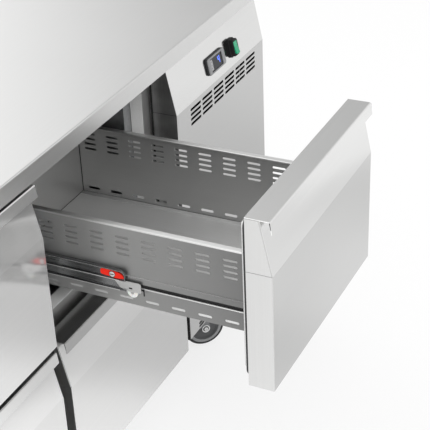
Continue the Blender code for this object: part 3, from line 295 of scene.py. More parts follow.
# Studio
FLOOR_REACH = 14
FLOOR_DROP = 0.0005
FLOOR_SPAN = (-1.0, 4.0)
FLOOR_PATCHES = (1.46, 2.14)
FLOOR_WHITE_SHARE = 0.76
SIDE_WAY = (-0.545, 0.839, 0.0)
SIDE_GLOW = 1.6
PLAIN_GLOW = 0.78
DEEP_GLOW = 0.35
LAMPS = (
    ("key_lamp", (-2.6, -2.2, 3.4), 2.6, 70.0),
    ("back_lamp", (1.6, 2.6, 3.0), 2.4, 30.0),
    ("side_lamp", (3.0, -2.4, 1.8), 2.0, 22.0),
)
LAMP_TARGET = (0, 0, 0.5)
CAMERA_PLACE = (-1.7124, -1.2144, 1.7786)
CAMERA_TURN = (58.4991, 2.9769, -63.3529)
CAMERA_LENS = 105.15
CAMERA_SHIFT = (0.0773, 0.0808)

ROWS = ("upper", "lower")
COLUMNS = ("left", "right")
DRAWERS = [row + "_" + column for column in COLUMNS for row in ROWS]
OPEN_DRAWER = "upper_right"


# Settings that a user would change

class CounterSizes(bpy.types.PropertyGroup):
    """Sizes of the sheet metal details."""

    edge: bpy.props.FloatProperty(
        name="Folded edge", description="Radius of the folded and deburred edges",
        default=0.0006, min=0.0001, max=0.001, unit="LENGTH")
    slot_length: bpy.props.FloatProperty(
        name="Box slot length", description="Length of an air slot in the drawer boxes",
        default=0.0266, min=0.01, max=0.04, unit="LENGTH")
    slot_height: bpy.props.FloatProperty(
        name="Box slot height", description="Height of an air slot in the drawer boxes",
        default=0.0046, min=0.002, max=0.008, unit="LENGTH")
    slot_pitch: bpy.props.FloatProperty(
        name="Box slot pitch", description="Distance between two groups of air slots",
        default=0.0512, min=0.03, max=0.08, unit="LENGTH")
    slot_step: bpy.props.FloatProperty(
        name="Box slot step", description="Distance between two slots of a group",
        default=0.0112, min=0.006, max=0.02, unit="LENGTH")
    vent_length: bpy.props.FloatProperty(
        name="Vent length", description="Length of a vent in the machine panel",
        default=0.047, min=0.02, max=0.05, unit="LENGTH")
    vent_height: bpy.props.FloatProperty(
        name="Vent height", description="Height of a vent in the machine panel",
        default=0.0060, min=0.002, max=0.008, unit="LENGTH")


class CounterColours(bpy.types.PropertyGroup):
    """Colours of the main finishes."""

    steel: bpy.props.FloatVectorProperty(
        name="Brushed steel", description="Colour of the worktop, fronts and panels",
        default=(0.66, 0.66, 0.655), size=3, min=0, max=1, subtype="COLOR")
    box_steel: bpy.props.FloatVectorProperty(
        name="Box steel", description="Colour of the drawer boxes and the cold room's lining",
        default=(0.58, 0.58, 0.575), size=3, min=0, max=1, subtype="COLOR")
    lever: bpy.props.FloatVectorProperty(
        name="Release lever", description="Colour of the slides' release levers",
        default=(0.95, 0.030, 0.014), size=3, min=0, max=1, subtype="COLOR")
    rocker: bpy.props.FloatVectorProperty(
        name="Switch rocker", description="Colour of the lit main switch",
        default=(0.03, 0.42, 0.22), size=3, min=0, max=1, subtype="COLOR")
    digits: bpy.props.FloatVectorProperty(
        name="Digits", description="Colour of the temperature display's digits",
        default=(0.10, 0.20, 0.95), size=3, min=0, max=1, subtype="COLOR")


def sizes():
    return bpy.context.scene.counter_sizes


def colours():
    return bpy.context.scene.counter_colours


# Node trees

def add(tree, kind, inputs=(), **settings):
    """A new node with its settings and inputs. An input is a value or another node's socket."""
    node = tree.nodes.new(kind)
    for key, value in settings.items():
        setattr(node, key, value)
    for key, value in dict(inputs).items():
        if isinstance(value, bpy.types.NodeSocket):
            tree.links.new(value, node.inputs[key])
        else:
            node.inputs[key].default_value = value
    return node


def finish(name, colour, rough, metallic, grain, contrast=0.08, spread=0.06, bump=0.15, depth=0.0002,
           cloud=5.0, edge=0.25, **sockets):
    """A finish with grain, cloudy colour and brighter edges, partly wear and partly a painted highlight.
    Grain is per metre on each axis.
    """
    if name in bpy.data.materials:
        raise RuntimeError("a material has the name " + name)
    material = bpy.data.materials.new(name)
    material.use_nodes = True
    tree = material.node_tree
    shader = tree.nodes["Principled BSDF"]
    place = add(tree, "ShaderNodeTexCoord").outputs["Object"]
    along = add(tree, "ShaderNodeMapping", {"Vector": place, "Scale": grain}).outputs[0]
    fine = add(tree, "ShaderNodeTexNoise", {"Vector": along, "Scale": 1.0, "Detail": 3.0, "Roughness": 0.5})
    clouds = add(tree, "ShaderNodeTexNoise", {"Vector": place, "Scale": cloud, "Detail": 2.0})
    grains = fine.outputs["Fac"]
    both = add(tree, "ShaderNodeMath", {0: grains, 1: clouds.outputs["Fac"]}, operation="ADD")
    spanned = {"Value": both.outputs[0], "From Min": 0.7, "From Max": 1.3}
    level = add(tree, "ShaderNodeMapRange", {**spanned, "To Min": 1 - contrast, "To Max": 1 + contrast})
    tint = add(tree, "ShaderNodeVectorMath", {0: colour, "Scale": level.outputs[0]}, operation="SCALE")
    # Edges are painted lighter: partly wear, partly a painted highlight where an edge catches the light
    bevel = add(tree, "ShaderNodeBevel", {"Radius": WEAR_AND_HIGHLIGHT_RADIUS}, samples=4)
    normal = add(tree, "ShaderNodeNewGeometry").outputs["Normal"]
    turn = add(tree, "ShaderNodeVectorMath", {0: bevel.outputs[0], 1: normal}, operation="DOT_PRODUCT")
    worn_and_lit_edge = add(tree, "ShaderNodeMapRange", {
        "Value": turn.outputs["Value"], "From Min": 0.995, "From Max": 0.8, "To Min": 0.0, "To Max": edge,
    })
    lighter = [min(1.0, c * 1.25 + 0.04) for c in colour]
    mixed = add(tree, "ShaderNodeMixRGB", {
        "Fac": worn_and_lit_edge.outputs[0], "Color1": tint.outputs[0], "Color2": (*lighter, 1),
    })
    tree.links.new(mixed.outputs[0], shader.inputs["Base Color"])
    polish = add(tree, "ShaderNodeMapRange", {
        **spanned, "To Min": max(0.02, rough - spread), "To Max": min(1.0, rough + spread),
    })
    tree.links.new(polish.outputs[0], shader.inputs["Roughness"])
    relief = add(tree, "ShaderNodeBump", {"Strength": bump, "Distance": depth, "Height": grains})
    tree.links.new(relief.outputs[0], shader.inputs["Normal"])
    shader.inputs["Metallic"].default_value = metallic
    for key, value in sockets.items():
        shader.inputs[key.replace("_", " ")].default_value = value
    return material


def object_place(material):
    """The socket of a finish that gives the place on the object."""
    nodes = material.node_tree.nodes
    return next(n for n in nodes if n.bl_idname == "ShaderNodeTexCoord").outputs["Object"]


def toned(material, share):
    """Multiplies a finish's colour by a share."""
    tree = material.node_tree
    colour = tree.nodes["Principled BSDF"].inputs["Base Color"]
    under = colour.links[0].from_socket
    tint = add(tree, "ShaderNodeVectorMath", {0: under, "Scale": share}, operation="SCALE")
    tree.links.new(tint.outputs[0], colour)
    return material


def spangled(name, colour, rough):
    """Galvanised sheet: cells of slightly different grey over the plain finish."""
    material = finish(name, colour, rough, 1.0, (300, 300, 300), contrast=0.05)
    tree = material.node_tree
    cells = add(tree, "ShaderNodeTexVoronoi", {"Vector": object_place(material), "Scale": 160.0})
    grey = add(tree, "ShaderNodeRGBToBW", {0: cells.outputs["Color"]})
    share = add(tree, "ShaderNodeMapRange", {"Value": grey.outputs[0], "To Min": 0.9, "To Max": 1.06})
    return toned(material, share.outputs[0])


def painted_light_graded(name, colour, rough, metallic, shares, near=None, **settings):
    """Box steel with painted light and shade: it turns evenly from the first share of its colour at the open
    box's front to the second.

    Near holds another two shares for the strip along the box's left wall, which shows through the slots and
    is painted light. There the finish is hardly metallic.
    """
    material = finish(name, colour, rough, metallic, GRAIN_BACK, **settings)
    tree = material.node_tree
    across, depth, _ = add(tree, "ShaderNodeSeparateXYZ", {0: object_place(material)}).outputs
    low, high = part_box(OPEN_DRAWER + "_box")
    share, strip = (add(tree, "ShaderNodeMapRange", {
        "Value": depth, "From Min": low.y, "From Max": high.y, "To Min": first, "To Max": last,
    }).outputs[0] for first, last in (shares, near or shares))
    inward = add(tree, "ShaderNodeMapRange", {
        "Value": across, "From Min": low.x + NEAR_STRIP, "From Max": low.x + NEAR_STRIP_END,
    }).outputs[0]
    share = add(tree, "ShaderNodeMix", {0: inward, 2: strip, 3: share}).outputs[0]
    if near:
        sheen = add(tree, "ShaderNodeMapRange", {
            "Value": inward, "To Min": NEAR_STRIP_METAL, "To Max": metallic,
        })
        tree.links.new(sheen.outputs[0], tree.nodes["Principled BSDF"].inputs["Metallic"])
    return toned(material, share)


def painted_shade_inside(name, colour, rough, way):
    """Brushed steel whose face towards the given direction is painted dark as shade."""
    material = finish(name, colour, rough, 1.0, GRAIN_UPRIGHT, contrast=0.03, spread=0.03, bump=0.04,
                      cloud=2.5)
    tree = material.node_tree
    shader = tree.nodes["Principled BSDF"]
    normal = add(tree, "ShaderNodeNewGeometry").outputs["True Normal"]
    turn = add(tree, "ShaderNodeVectorMath", {0: normal, 1: way}, operation="DOT_PRODUCT")
    inside = math_node(tree, "GREATER_THAN", turn.outputs["Value"], 0.5)
    under = shader.inputs["Base Color"].links[0].from_socket
    mixed = add(tree, "ShaderNodeMixRGB", {"Fac": inside, "Color1": under, "Color2": (0.02, 0.02, 0.02, 1)})
    tree.links.new(mixed.outputs[0], shader.inputs["Base Color"])
    return material


def shade(colour, share):
    """The colour made darker or lighter by a share."""
    return tuple(share * c for c in colour)


def make_finishes():
    """Every finish: brushed sheets first, then zinc, rubber, plastics, glass and enamel."""
    steel = tuple(colours().steel)
    inner = tuple(colours().box_steel)
    brushed = {"contrast": 0.03, "bump": 0.04, "cloud": 2.5, "spread": 0.03}
    # The slope, grip and closed copies are lighter and darker shares of one steel: painted light and shade
    for name, colour, rough, metallic, grain in (
        ("steel_along", steel, 0.14, 1.0, GRAIN_ALONG),
        ("slope_steel", shade(steel, 1.18), 0.14, 1.0, GRAIN_ALONG),
        ("grip_steel", shade(steel, 1.32), 0.22, 1.0, GRAIN_ALONG),
        ("shaded_grip_steel", shade(steel, 0.62), 0.22, 1.0, GRAIN_ALONG),
        ("shaded_lip_steel", shade(steel, 0.62), 0.14, 0.65, GRAIN_ALONG),
        ("closed_shaded_steel", shade(steel, 0.92), 0.10, 0.65, GRAIN_ALONG),
        ("closed_slope_steel", steel, 0.14, 0.65, GRAIN_ALONG),
        ("worktop_steel", steel, 0.36, 0.85, GRAIN_ALONG),
        ("panel_steel", shade(steel, 0.86), 0.34, 1.0, GRAIN_ALONG),
        ("steel_upright", steel, 0.34, 1.0, GRAIN_UPRIGHT),
        ("box_steel", inner, 0.46, 0.88, GRAIN_BACK),
        ("rim_steel", shade(inner, 1.45), 0.42, 1.0, GRAIN_BACK),
        ("frame_steel", shade(inner, 1.3), 0.40, 1.0, GRAIN_LINING),
        ("lining_steel", inner, 0.34, 1.0, GRAIN_LINING),
    ):
        finish(name, colour, rough, metallic, grain, **brushed)
    # The machine side panel's inner face is painted dark as the compartment's shade
    painted_shade_inside("side_panel_steel", steel, 0.34, (-1, 0, 0))
    # The box's walls and floor are graded with painted light and shade from the open box's front to its back
    wall = shade(inner, 0.72)
    painted_light_graded("near_wall_steel", wall, 0.46, 0.88, (0.48, 1.60), **brushed)
    painted_light_graded("far_wall_steel", wall, 0.40, 0.88, (1.0, 1.7), **brushed)
    painted_light_graded("box_floor_steel", wall, 0.36, 0.60, (2.36, 1.7), (2.38, 0.45), **brushed)
    painted_light_graded("fold_steel_painted_light", (0.97, 0.97, 0.965), 0.30, 0.15, (1.0, 0.25), **brushed)
    # The left return of the machine panel, painted dark as shade
    finish("return_steel_painted_shade", (0.36, 0.36, 0.36), 0.36, 1.0, GRAIN_LINING, contrast=0.2, bump=0.06, cloud=30)
    finish("breaker_plastic", (0.88, 0.88, 0.87), 0.40, 0.0, (500, 500, 500), contrast=0.05, bump=0.1)
    # Dark lines: joints, and painted shadow in gaps, grooves, corners and holes
    finish("dark_joint_and_painted_shadow", (0.012, 0.012, 0.012), 0.75, 0.0, (700, 700, 700), contrast=0.2, bump=0.1)
    finish("liner_edge", (0.74, 0.74, 0.735), 0.34, 1.0, (500, 500, 8), contrast=0.04)
    finish("slide_zinc", (0.33, 0.335, 0.34), 0.26, 1.0, (400, 10, 400), contrast=0.06, bump=0.06, edge=0.7)
    # Light zinc of the rail channels and the lever's screw, also used for thin strips painted as highlights
    finish("light_zinc_and_painted_highlight", (0.88, 0.88, 0.875), 0.42, 0.7, (400, 10, 400), contrast=0.04, bump=0.04)
    finish("bracket_zinc", (0.74, 0.74, 0.735), 0.36, 1.0, (400, 400, 400), contrast=0.05, bump=0.06,
           edge=0.5)
    spangled("zinc_sheet", (0.50, 0.51, 0.52), 0.38)
    spangled("fork_zinc", (0.24, 0.245, 0.25), 0.42)
    finish("hub_zinc", (0.92, 0.92, 0.915), 0.36, 0.25, (400, 400, 400), contrast=0.06, bump=0.06)
    finish("bolt_steel", (0.62, 0.62, 0.61), 0.28, 1.0, (500, 500, 500), contrast=0.1, edge=0.5)
    finish("gasket_rubber", (0.035, 0.035, 0.037), 0.62, 0.0, (700, 700, 700), contrast=0.15, bump=0.25)
    finish("tyre_rubber", (0.022, 0.022, 0.023), 0.66, 0.0, (900, 900, 900), contrast=0.2, bump=0.35)
    finish("rim_plastic", (0.34, 0.345, 0.35), 0.42, 0.0, (600, 600, 600), contrast=0.08, bump=0.1)
    finish("wheel_plastic", (0.10, 0.102, 0.105), 0.48, 0.0, (600, 600, 600), contrast=0.08, bump=0.2)
    finish("nylon", (0.93, 0.93, 0.91), 0.38, 0.0, (500, 500, 500), contrast=0.04, bump=0.1,
           Subsurface_Weight=0.15, Subsurface_Scale=0.002)
    finish("lever_plastic", tuple(colours().lever), 0.40, 0.0, (600, 600, 600), contrast=0.05, bump=0.15,
           Specular_IOR_Level=0.2)
    finish("black_plastic", (0.009, 0.009, 0.010), 0.50, 0.0, (900, 900, 900), contrast=0.2, bump=0.2,
           Specular_IOR_Level=0.25)
    finish("bezel_plastic", (0.25, 0.253, 0.258), 0.42, 0.2, (900, 900, 900), contrast=0.06, bump=0.1)
    finish("housing_plastic", (0.035, 0.036, 0.038), 0.48, 0.0, (900, 900, 900), contrast=0.15, bump=0.15,
           Specular_IOR_Level=0.3)
    finish("key_plastic", (0.36, 0.36, 0.365), 0.42, 0.0, (900, 900, 900), contrast=0.06, bump=0.1)
    finish("display_glass", (0.010, 0.011, 0.014), 0.12, 0.0, (60, 60, 60), contrast=0.3, spread=0.03,
           bump=0.02, Specular_IOR_Level=0.3)
    finish("rocker_green", tuple(colours().rocker), 0.18, 0.0, (400, 400, 400), contrast=0.1, bump=0.05,
           Transmission_Weight=0.35, IOR=1.45, Emission_Strength=0.12,
           Emission_Color=(*tuple(colours().rocker), 1))
    finish("digit_light", tuple(colours().digits), 0.4, 0.0, (900, 900, 900), contrast=0.1,
           Emission_Strength=1.4, Emission_Color=(*tuple(colours().digits), 1))
    finish("black_enamel", (0.020, 0.020, 0.021), 0.34, 0.0, (250, 250, 250), contrast=0.2, bump=0.3,
           Coat_Weight=0.3, Coat_Roughness=0.2)
    finish("fin_aluminium", (0.70, 0.71, 0.72), 0.34, 1.0, (400, 400, 30), contrast=0.08)


# Node trees that repeat a shape

def new_tree(name, inputs):
    """A geometry tree with named inputs, each a name, a socket type and a default."""
    tree = bpy.data.node_groups.new(name, "GeometryNodeTree")
    for label, kind, value in inputs:
        socket = tree.interface.new_socket(label, in_out="INPUT", socket_type="NodeSocket" + kind)
        if value is not None:
            socket.default_value = value
    tree.interface.new_socket("Geometry", in_out="OUTPUT", socket_type="NodeSocketGeometry")
    return tree, add(tree, "NodeGroupInput").outputs


def close_tree(tree, shape, material):
    """Ends a tree in plain geometry with its finish."""
    real = add(tree, "GeometryNodeRealizeInstances", {0: shape})
    dressed = add(tree, "GeometryNodeSetMaterial", {"Geometry": real.outputs[0], "Material": material})
    add(tree, "NodeGroupOutput", {0: dressed.outputs[0]})
    return tree


def points(tree, count, start, step):
    """Points on a straight line."""
    line = add(tree, "GeometryNodeMeshLine", {"Count": count, "Start Location": start, "Offset": step})
    return line.outputs[0]


def vector(tree, x=0.0, y=0.0, z=0.0):
    return add(tree, "ShaderNodeCombineXYZ", {0: x, 1: y, 2: z}).outputs[0]


def math_node(tree, operation, a, b=0.0):
    return add(tree, "ShaderNodeMath", {0: a, 1: b}, operation=operation).outputs[0]


def slotted_sheet_tree():
    """A flat sheet from the origin along X and Y, with rows and columns of round-ended slots."""
    tree, given = new_tree("Slotted sheet", [
        ("Length", "Float", 0.5), ("Height", "Float", 0.15), ("Sheet", "Float", 0.001),
        ("Slot length", "Float", 0.026), ("Slot height", "Float", 0.0046),
        ("Columns", "Int", 10), ("Column pitch", "Float", 0.05), ("First column", "Float", 0.03),
        ("Rows", "Int", 4), ("Row pitch", "Float", 0.011), ("First row", "Float", 0.1),
        ("Low slots", "Int", 0), ("Low pitch", "Float", 0.05), ("Low first", "Float", 0.03),
        ("Low row", "Float", 0.017), ("Low step", "Float", 0.0), ("Low length", "Float", 0.026),
        ("Low height", "Float", 0.006),
        ("Material", "Material", None),
    ])
    half_x = math_node(tree, "MULTIPLY", given["Length"], 0.5)
    half_y = math_node(tree, "MULTIPLY", given["Height"], 0.5)
    border = add(tree, "GeometryNodeCurvePrimitiveQuadrilateral",
                 {"Width": given["Length"], "Height": given["Height"]})
    border = add(tree, "GeometryNodeTransform",
                 {"Geometry": border.outputs[0], "Translation": vector(tree, half_x, half_y)}).outputs[0]
    rings = []
    for length, height in (("Slot length", "Slot height"), ("Low length", "Low height")):
        radius = math_node(tree, "MULTIPLY", given[height], 0.499)
        slot = add(tree, "GeometryNodeCurvePrimitiveQuadrilateral",
                   {"Width": given[length], "Height": given[height]})
        slot = add(tree, "GeometryNodeFilletCurve", {"Curve": slot.outputs[0], "Count": 4, "Radius": radius},
                   mode="POLY")
        rings.append(slot.outputs[0])
    column = points(tree, given["Columns"], vector(tree, given["First column"], given["First row"]),
                    vector(tree, given["Column pitch"]))
    row = points(tree, given["Rows"], vector(tree), vector(tree, 0.0, given["Row pitch"]))
    grid = add(tree, "GeometryNodeInstanceOnPoints", {"Points": column, "Instance": row}).outputs[0]
    grid = add(tree, "GeometryNodeRealizeInstances", {0: grid}).outputs[0]
    main = add(tree, "GeometryNodeInstanceOnPoints", {"Points": grid, "Instance": rings[0]}).outputs[0]
    low = points(tree, given["Low slots"], vector(tree, given["Low first"], given["Low row"]),
                 vector(tree, given["Low pitch"], given["Low step"]))
    low = add(tree, "GeometryNodeInstanceOnPoints", {"Points": low, "Instance": rings[1]}).outputs[0]
    every = add(tree, "GeometryNodeJoinGeometry")
    for shape in (border, main, low):
        tree.links.new(shape, every.inputs[0])
    flat = add(tree, "GeometryNodeRealizeInstances", {0: every.outputs[0]}).outputs[0]
    flat = add(tree, "GeometryNodeFillCurve", {0: flat}, mode="TRIANGLES").outputs[0]
    thick = add(tree, "GeometryNodeExtrudeMesh",
                {"Mesh": flat, "Offset": (0, 0, 1), "Offset Scale": given["Sheet"], "Individual": False})
    under = add(tree, "GeometryNodeFlipFaces", {"Mesh": flat}).outputs[0]
    both = add(tree, "GeometryNodeJoinGeometry")
    tree.links.new(thick.outputs[0], both.inputs[0])
    tree.links.new(under, both.inputs[0])
    whole = add(tree, "GeometryNodeMergeByDistance",
                {"Geometry": both.outputs[0], "Distance": WELD_DISTANCE})
    return close_tree(tree, whole.outputs[0], given["Material"])


def made_by_nodes(tree, values):
    """The plain mesh that a tree makes from the given inputs."""
    holder = bpy.data.objects.new("holder", bpy.data.meshes.new("holder"))
    bpy.context.scene.collection.objects.link(holder)
    modifier = holder.modifiers.new("make", "NODES")
    modifier.node_group = tree
    for item in tree.interface.items_tree:
        if item.item_type == "SOCKET" and item.in_out == "INPUT" and item.name in values:
            modifier[item.identifier] = values[item.name]
    graph = bpy.context.evaluated_depsgraph_get()
    mesh = bpy.data.meshes.new_from_object(holder.evaluated_get(graph), depsgraph=graph)
    holder.modifiers.remove(modifier)
    bpy.data.objects.remove(holder)
    return mesh


def slotted_sheet(values, finish_name):
    """A slotted sheet in a finish, by the tree that all such sheets share."""
    tree = bpy.data.node_groups.get("Slotted sheet") or slotted_sheet_tree()
    return made_by_nodes(tree, {**values, "Material": bpy.data.materials[finish_name]})


# Solids, as meshes under construction

# For each axis, the coordinates that an outline fills in, and the axis itself
AXES = {"X": (1, 2, 0), "Y": (0, 2, 1), "Z": (0, 1, 2)}


def lofted(rings, capped=True):
    """A skin over closed rings of points with the same count, with flat ends if capped."""
    solid = bmesh.new()
    made = [[solid.verts.new(p) for p in ring] for ring in rings]
    count = len(rings[0])
    pairs = list(zip(made, made[1:]))
    if capped:
        solid.faces.new(made[0])
        solid.faces.new(made[-1])
    else:
        pairs.append((made[-1], made[0]))
    for low, high in pairs:
        for n in range(count):
            m = (n + 1) % count
            solid.faces.new((low[n], low[m], high[m], high[n]))
    bmesh.ops.recalc_face_normals(solid, faces=solid.faces)
    return solid


def set_out(outline, axis, level):
    """The outline's points in space, with the level along the axis."""
    first, second, along = AXES[axis]
    ring = []
    for a, b in outline:
        point = [0.0, 0.0, 0.0]
        point[first], point[second], point[along] = a, b, level
        ring.append(point)
    return ring


def prism(outline, axis, start, end):
    """The outline drawn out along the axis."""
    return lofted([set_out(outline, axis, start), set_out(outline, axis, end)])


def block(low, high):
    """A box between two corners."""
    return prism([(low[0], low[1]), (high[0], low[1]), (high[0], high[1]), (low[0], high[1])],
                 "Z", low[2], high[2])


def circle(radius, segments, turn=0.0):
    angles = [2 * math.pi * n / segments + turn for n in range(segments)]
    return [(radius * math.cos(a), radius * math.sin(a)) for a in angles]


def rounded(width, height, radius, steps=5, centre=(0.0, 0.0)):
    """A rectangle round the centre with arcs at its corners."""
    corners = []
    for corner, (sx, sy) in enumerate(((1, 1), (-1, 1), (-1, -1), (1, -1))):
        for n in range(steps + 1):
            angle = math.pi / 2 * (corner + n / steps)
            x = centre[0] + sx * (width / 2 - radius) + radius * math.cos(angle)
            y = centre[1] + sy * (height / 2 - radius) + radius * math.sin(angle)
            corners.append((x, y))
    return corners


def spindle(profile, axis, segments=40):
    """A solid of revolution: the profile of (radius, place) from end to end, with flat ends."""
    return lofted([set_out(circle(r, segments), axis, place) for r, place in profile])


def turned(profile, axis, segments=40):
    """A ring: the closed profile of (radius, place) turned about the axis."""
    return lofted([set_out(circle(r, segments), axis, place) for r, place in profile], False)


def frame_ring(width, height, radius, profile, axis, centre, steps=5):
    """A ring round a rectangle. The profile is closed and holds (distance outwards, place along the axis)."""
    rings = []
    for out, place in profile:
        corner = max(radius + out, LEAST_CORNER)
        outline = rounded(width + 2 * out, height + 2 * out, corner, steps, centre)
        rings.append(set_out(outline, axis, place))
    return lofted(rings, False)


def smoothed(outline, rounds=2):
    """Cuts the corners of a closed outline, so that it runs in soft curves."""
    for _ in range(rounds):
        cut = []
        for (ax, ay), (bx, by) in zip(outline, outline[1:] + outline[:1]):
            cut.append((ax * 0.75 + bx * 0.25, ay * 0.75 + by * 0.25))
            cut.append((ax * 0.25 + bx * 0.75, ay * 0.25 + by * 0.75))
        outline = cut
    return outline


def holed_sheet(outline, holes, thickness):
    """A flat sheet in X and Y with holes, from the origin upwards by its thickness."""
    solid = bmesh.new()
    edges = []
    for ring in (outline, *holes):
        corners = [solid.verts.new((x, y, 0)) for x, y in ring]
        for a, b in zip(corners, corners[1:] + corners[:1]):
            edges.append(solid.edges.new((a, b)))
    bmesh.ops.triangle_fill(solid, use_beauty=True, use_dissolve=False, edges=edges)
    bmesh.ops.solidify(solid, geom=solid.faces, thickness=thickness)
    lowest = min(v.co.z for v in solid.verts)
    bmesh.ops.translate(solid, verts=solid.verts, vec=(0, 0, -lowest))
    bmesh.ops.recalc_face_normals(solid, faces=solid.faces)
    return solid


def mirrored(mesh, x):
    """The mesh reflected in the plane at x."""
    mesh.transform(Matrix.Translation((2 * x, 0, 0)) @ Matrix.Scale(-1, 4, (1, 0, 0)))
    mesh.flip_normals()
    return mesh


def evaluated(mesh, kind, **settings):
    """The mesh after one modifier."""
    holder = bpy.data.objects.new("holder", mesh)
    bpy.context.scene.collection.objects.link(holder)
    modifier = holder.modifiers.new("shape", kind)
    for key, value in settings.items():
        setattr(modifier, key, value)
    graph = bpy.context.evaluated_depsgraph_get()
    result = bpy.data.meshes.new_from_object(holder.evaluated_get(graph), depsgraph=graph)
    bpy.data.objects.remove(holder)
    bpy.data.meshes.remove(mesh)
    return result


class Piece:
    """One piece in the making: shells in several finishes, which become one mesh."""

    def __init__(self, name):
        self.name = name
        self.shape = bmesh.new()
        self.finishes = []

    def add(self, solid, finish_name, edge=0.0, place=None, mirror=None, segments=2, tilted=None):
        """Adds a shell, put in its place and then reflected. Edge is the radius of its folded edges.

        Faces that lean back from the upright take the finish called tilted, if there is one: a lighter or
        darker copy of the finish, painted light and shade.
        """
        mesh = solid
        if isinstance(solid, bmesh.types.BMesh):
            mesh = bpy.data.meshes.new("shell")
            solid.to_mesh(mesh)
            solid.free()
        if edge:
            mesh = evaluated(mesh, "BEVEL", width=edge, segments=segments, limit_method="ANGLE",
                             angle_limit=FOLD_ANGLE)
        if place is not None:
            mesh.transform(place)
        if mirror is not None:
            mirrored(mesh, mirror)
        for name in (finish_name, tilted):
            if name and name not in self.finishes:
                self.finishes.append(name)
        for polygon in mesh.polygons:
            leans = tilted and 0.1 < polygon.normal.z < 0.9 and polygon.normal.y < -0.4
            polygon.material_index = self.finishes.index(tilted if leans else finish_name)
        self.shape.from_mesh(mesh)
        bpy.data.meshes.remove(mesh)
        return self

    def done(self, body, replaced=(), origin=(0, 0, 0), smooth=40):
        """The finished object, with its place in its mesh, on its body."""
        mesh = bpy.data.meshes.new(self.name)
        bmesh.ops.translate(self.shape, verts=self.shape.verts, vec=origin)
        self.shape.to_mesh(mesh)
        self.shape.free()
        for name in self.finishes:
            mesh.materials.append(bpy.data.materials[name])
        mesh.shade_smooth()
        mesh.set_sharp_from_angle(angle=math.radians(smooth))
        mesh = evaluated(mesh, "WEIGHTED_NORMAL", keep_sharp=True)
        mesh.name = self.name
        thing = bpy.data.objects.new(self.name, mesh)
        bpy.context.scene.collection.objects.link(thing)
        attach(thing, body)
        if replaced:
            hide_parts(*replaced)
        return thing


def counter_origin():
    """The counter's front left corner on the floor."""
    return Vector((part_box("worktop")[0].x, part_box("upper_left_front")[0].y, 0))


def drawer_origin(drawer):
    """The upper front left corner of a drawer's front."""
    low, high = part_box(drawer + "_front")
    return Vector((low.x, low.y, high.z))


def drawer_size(drawer):
    """The width and height of a drawer's front."""
    low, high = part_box(drawer + "_front")
    return high.x - low.x, high.z - low.z


def liner_size(drawer):
    """The width, height and centre of the liner behind a drawer's front."""
    width, height = drawer_size(drawer)
    wide = width - 2 * OPENING_SIDE - 2 * LINER_CLEARANCE
    tall = height - OPENING_TOP - OPENING_BOTTOM - 2 * LINER_CLEARANCE
    return wide, tall, (width / 2, -OPENING_TOP - LINER_CLEARANCE - tall / 2)


def box_size(drawer):
    """The left, front, bottom, right, back and top of a drawer's box in the drawer's own frame."""
    low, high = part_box(drawer + "_box")
    low, high = low - drawer_origin(drawer), high - drawer_origin(drawer)
    return low.x + RAIL_DEPTH, low.y, low.z, high.x - RAIL_DEPTH, high.y, high.z


# Drawer fronts

def make_front(drawer):
    """The folded front with its grip, end caps and inner liner."""
    width, height = drawer_size(drawer)
    origin = drawer_origin(drawer)
    liner_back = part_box(drawer + "_front")[1].y - origin.y
    thick = liner_back - LINER_DEPTH
    edge = sizes().edge
    cap = SHEET
    piece = Piece(drawer + "_front_skin")
    foot = -height - (UPPER_LEFT_DROP if drawer == "upper_left" else 0)
    body = [
        (0, foot), (0, -SLOPE_HEIGHT), (SLOPE_SETBACK, -HANDLE_SHEET / 2), (thick, -HANDLE_SHEET / 2),
        (thick, foot),
    ]
    # Closed drawers take darker copies of the steel and sloped faces lighter ones; the lower grips and the
    # lower right lip take darker ones: painted light and shade
    is_open = drawer == OPEN_DRAWER
    face, slope = ("steel_along", "slope_steel") if is_open else ("closed_shaded_steel", "closed_slope_steel")
    piece.add(prism(body, "X", cap, width - cap), face, edge, tilted=slope)
    grip = [
        (thick, 0), (thick, -HANDLE_SHEET), (LIP_LEAN + HANDLE_SHEET, -HANDLE_SHEET),
        (HANDLE_SHEET, -LIP_HEIGHT), (0, -LIP_HEIGHT), (LIP_LEAN, -HANDLE_SHEET),
        (LIP_LEAN + HANDLE_SHEET, 0),
    ]
    end = GAP
    top_finish = "shaded_grip_steel" if drawer.startswith("lower") else "grip_steel"
    lip_finish = "shaded_lip_steel" if drawer == "lower_right" else slope
    piece.add(prism(grip, "X", end, width - end), top_finish, edge * 0.8, segments=3, tilted=lip_finish)
    # Dark wedges at the grip's ends, under its top plate: painted shadow
    low = LIP_HEIGHT * LIP_LINE_SHARE
    lip = [(LIP_LEAN + HANDLE_SHEET, -HANDLE_SHEET), (LIP_LEAN * 0.5 + HANDLE_SHEET / 2, -low),
           (LIP_LEAN * 0.5, -low), (LIP_LEAN, -HANDLE_SHEET)]
    for start in (0, width - end):
        piece.add(prism(lip, "X", start, start + end), "dark_joint_and_painted_shadow")
    seam = CAP_SEAM
    lower = [(seam, foot + seam), (thick - seam, foot + seam), (thick - seam, -SLOPE_HEIGHT - seam),
             (seam, -SLOPE_HEIGHT - seam)]
    upper = [(seam * 4, -SLOPE_HEIGHT + seam), (SLOPE_SETBACK + seam * 4, -HANDLE_SHEET - seam),
             (thick - seam, -HANDLE_SHEET - seam), (thick - seam, -SLOPE_HEIGHT + seam)]
    for outline in (lower, upper):
        for start in (CAP_INSET, width - cap - CAP_INSET):
            piece.add(prism(outline, "X", start, start + cap), "steel_upright", edge / 3)
    wide, tall, centre = liner_size(drawer)
    outer = rounded(wide, tall, LINER_CORNER, 5, centre)
    piece.add(prism(outer, "Y", thick - edge, liner_back), "liner_edge", edge * 2, segments=3)
    return piece.done(drawer + "_drawer", [drawer + "_front"], origin)


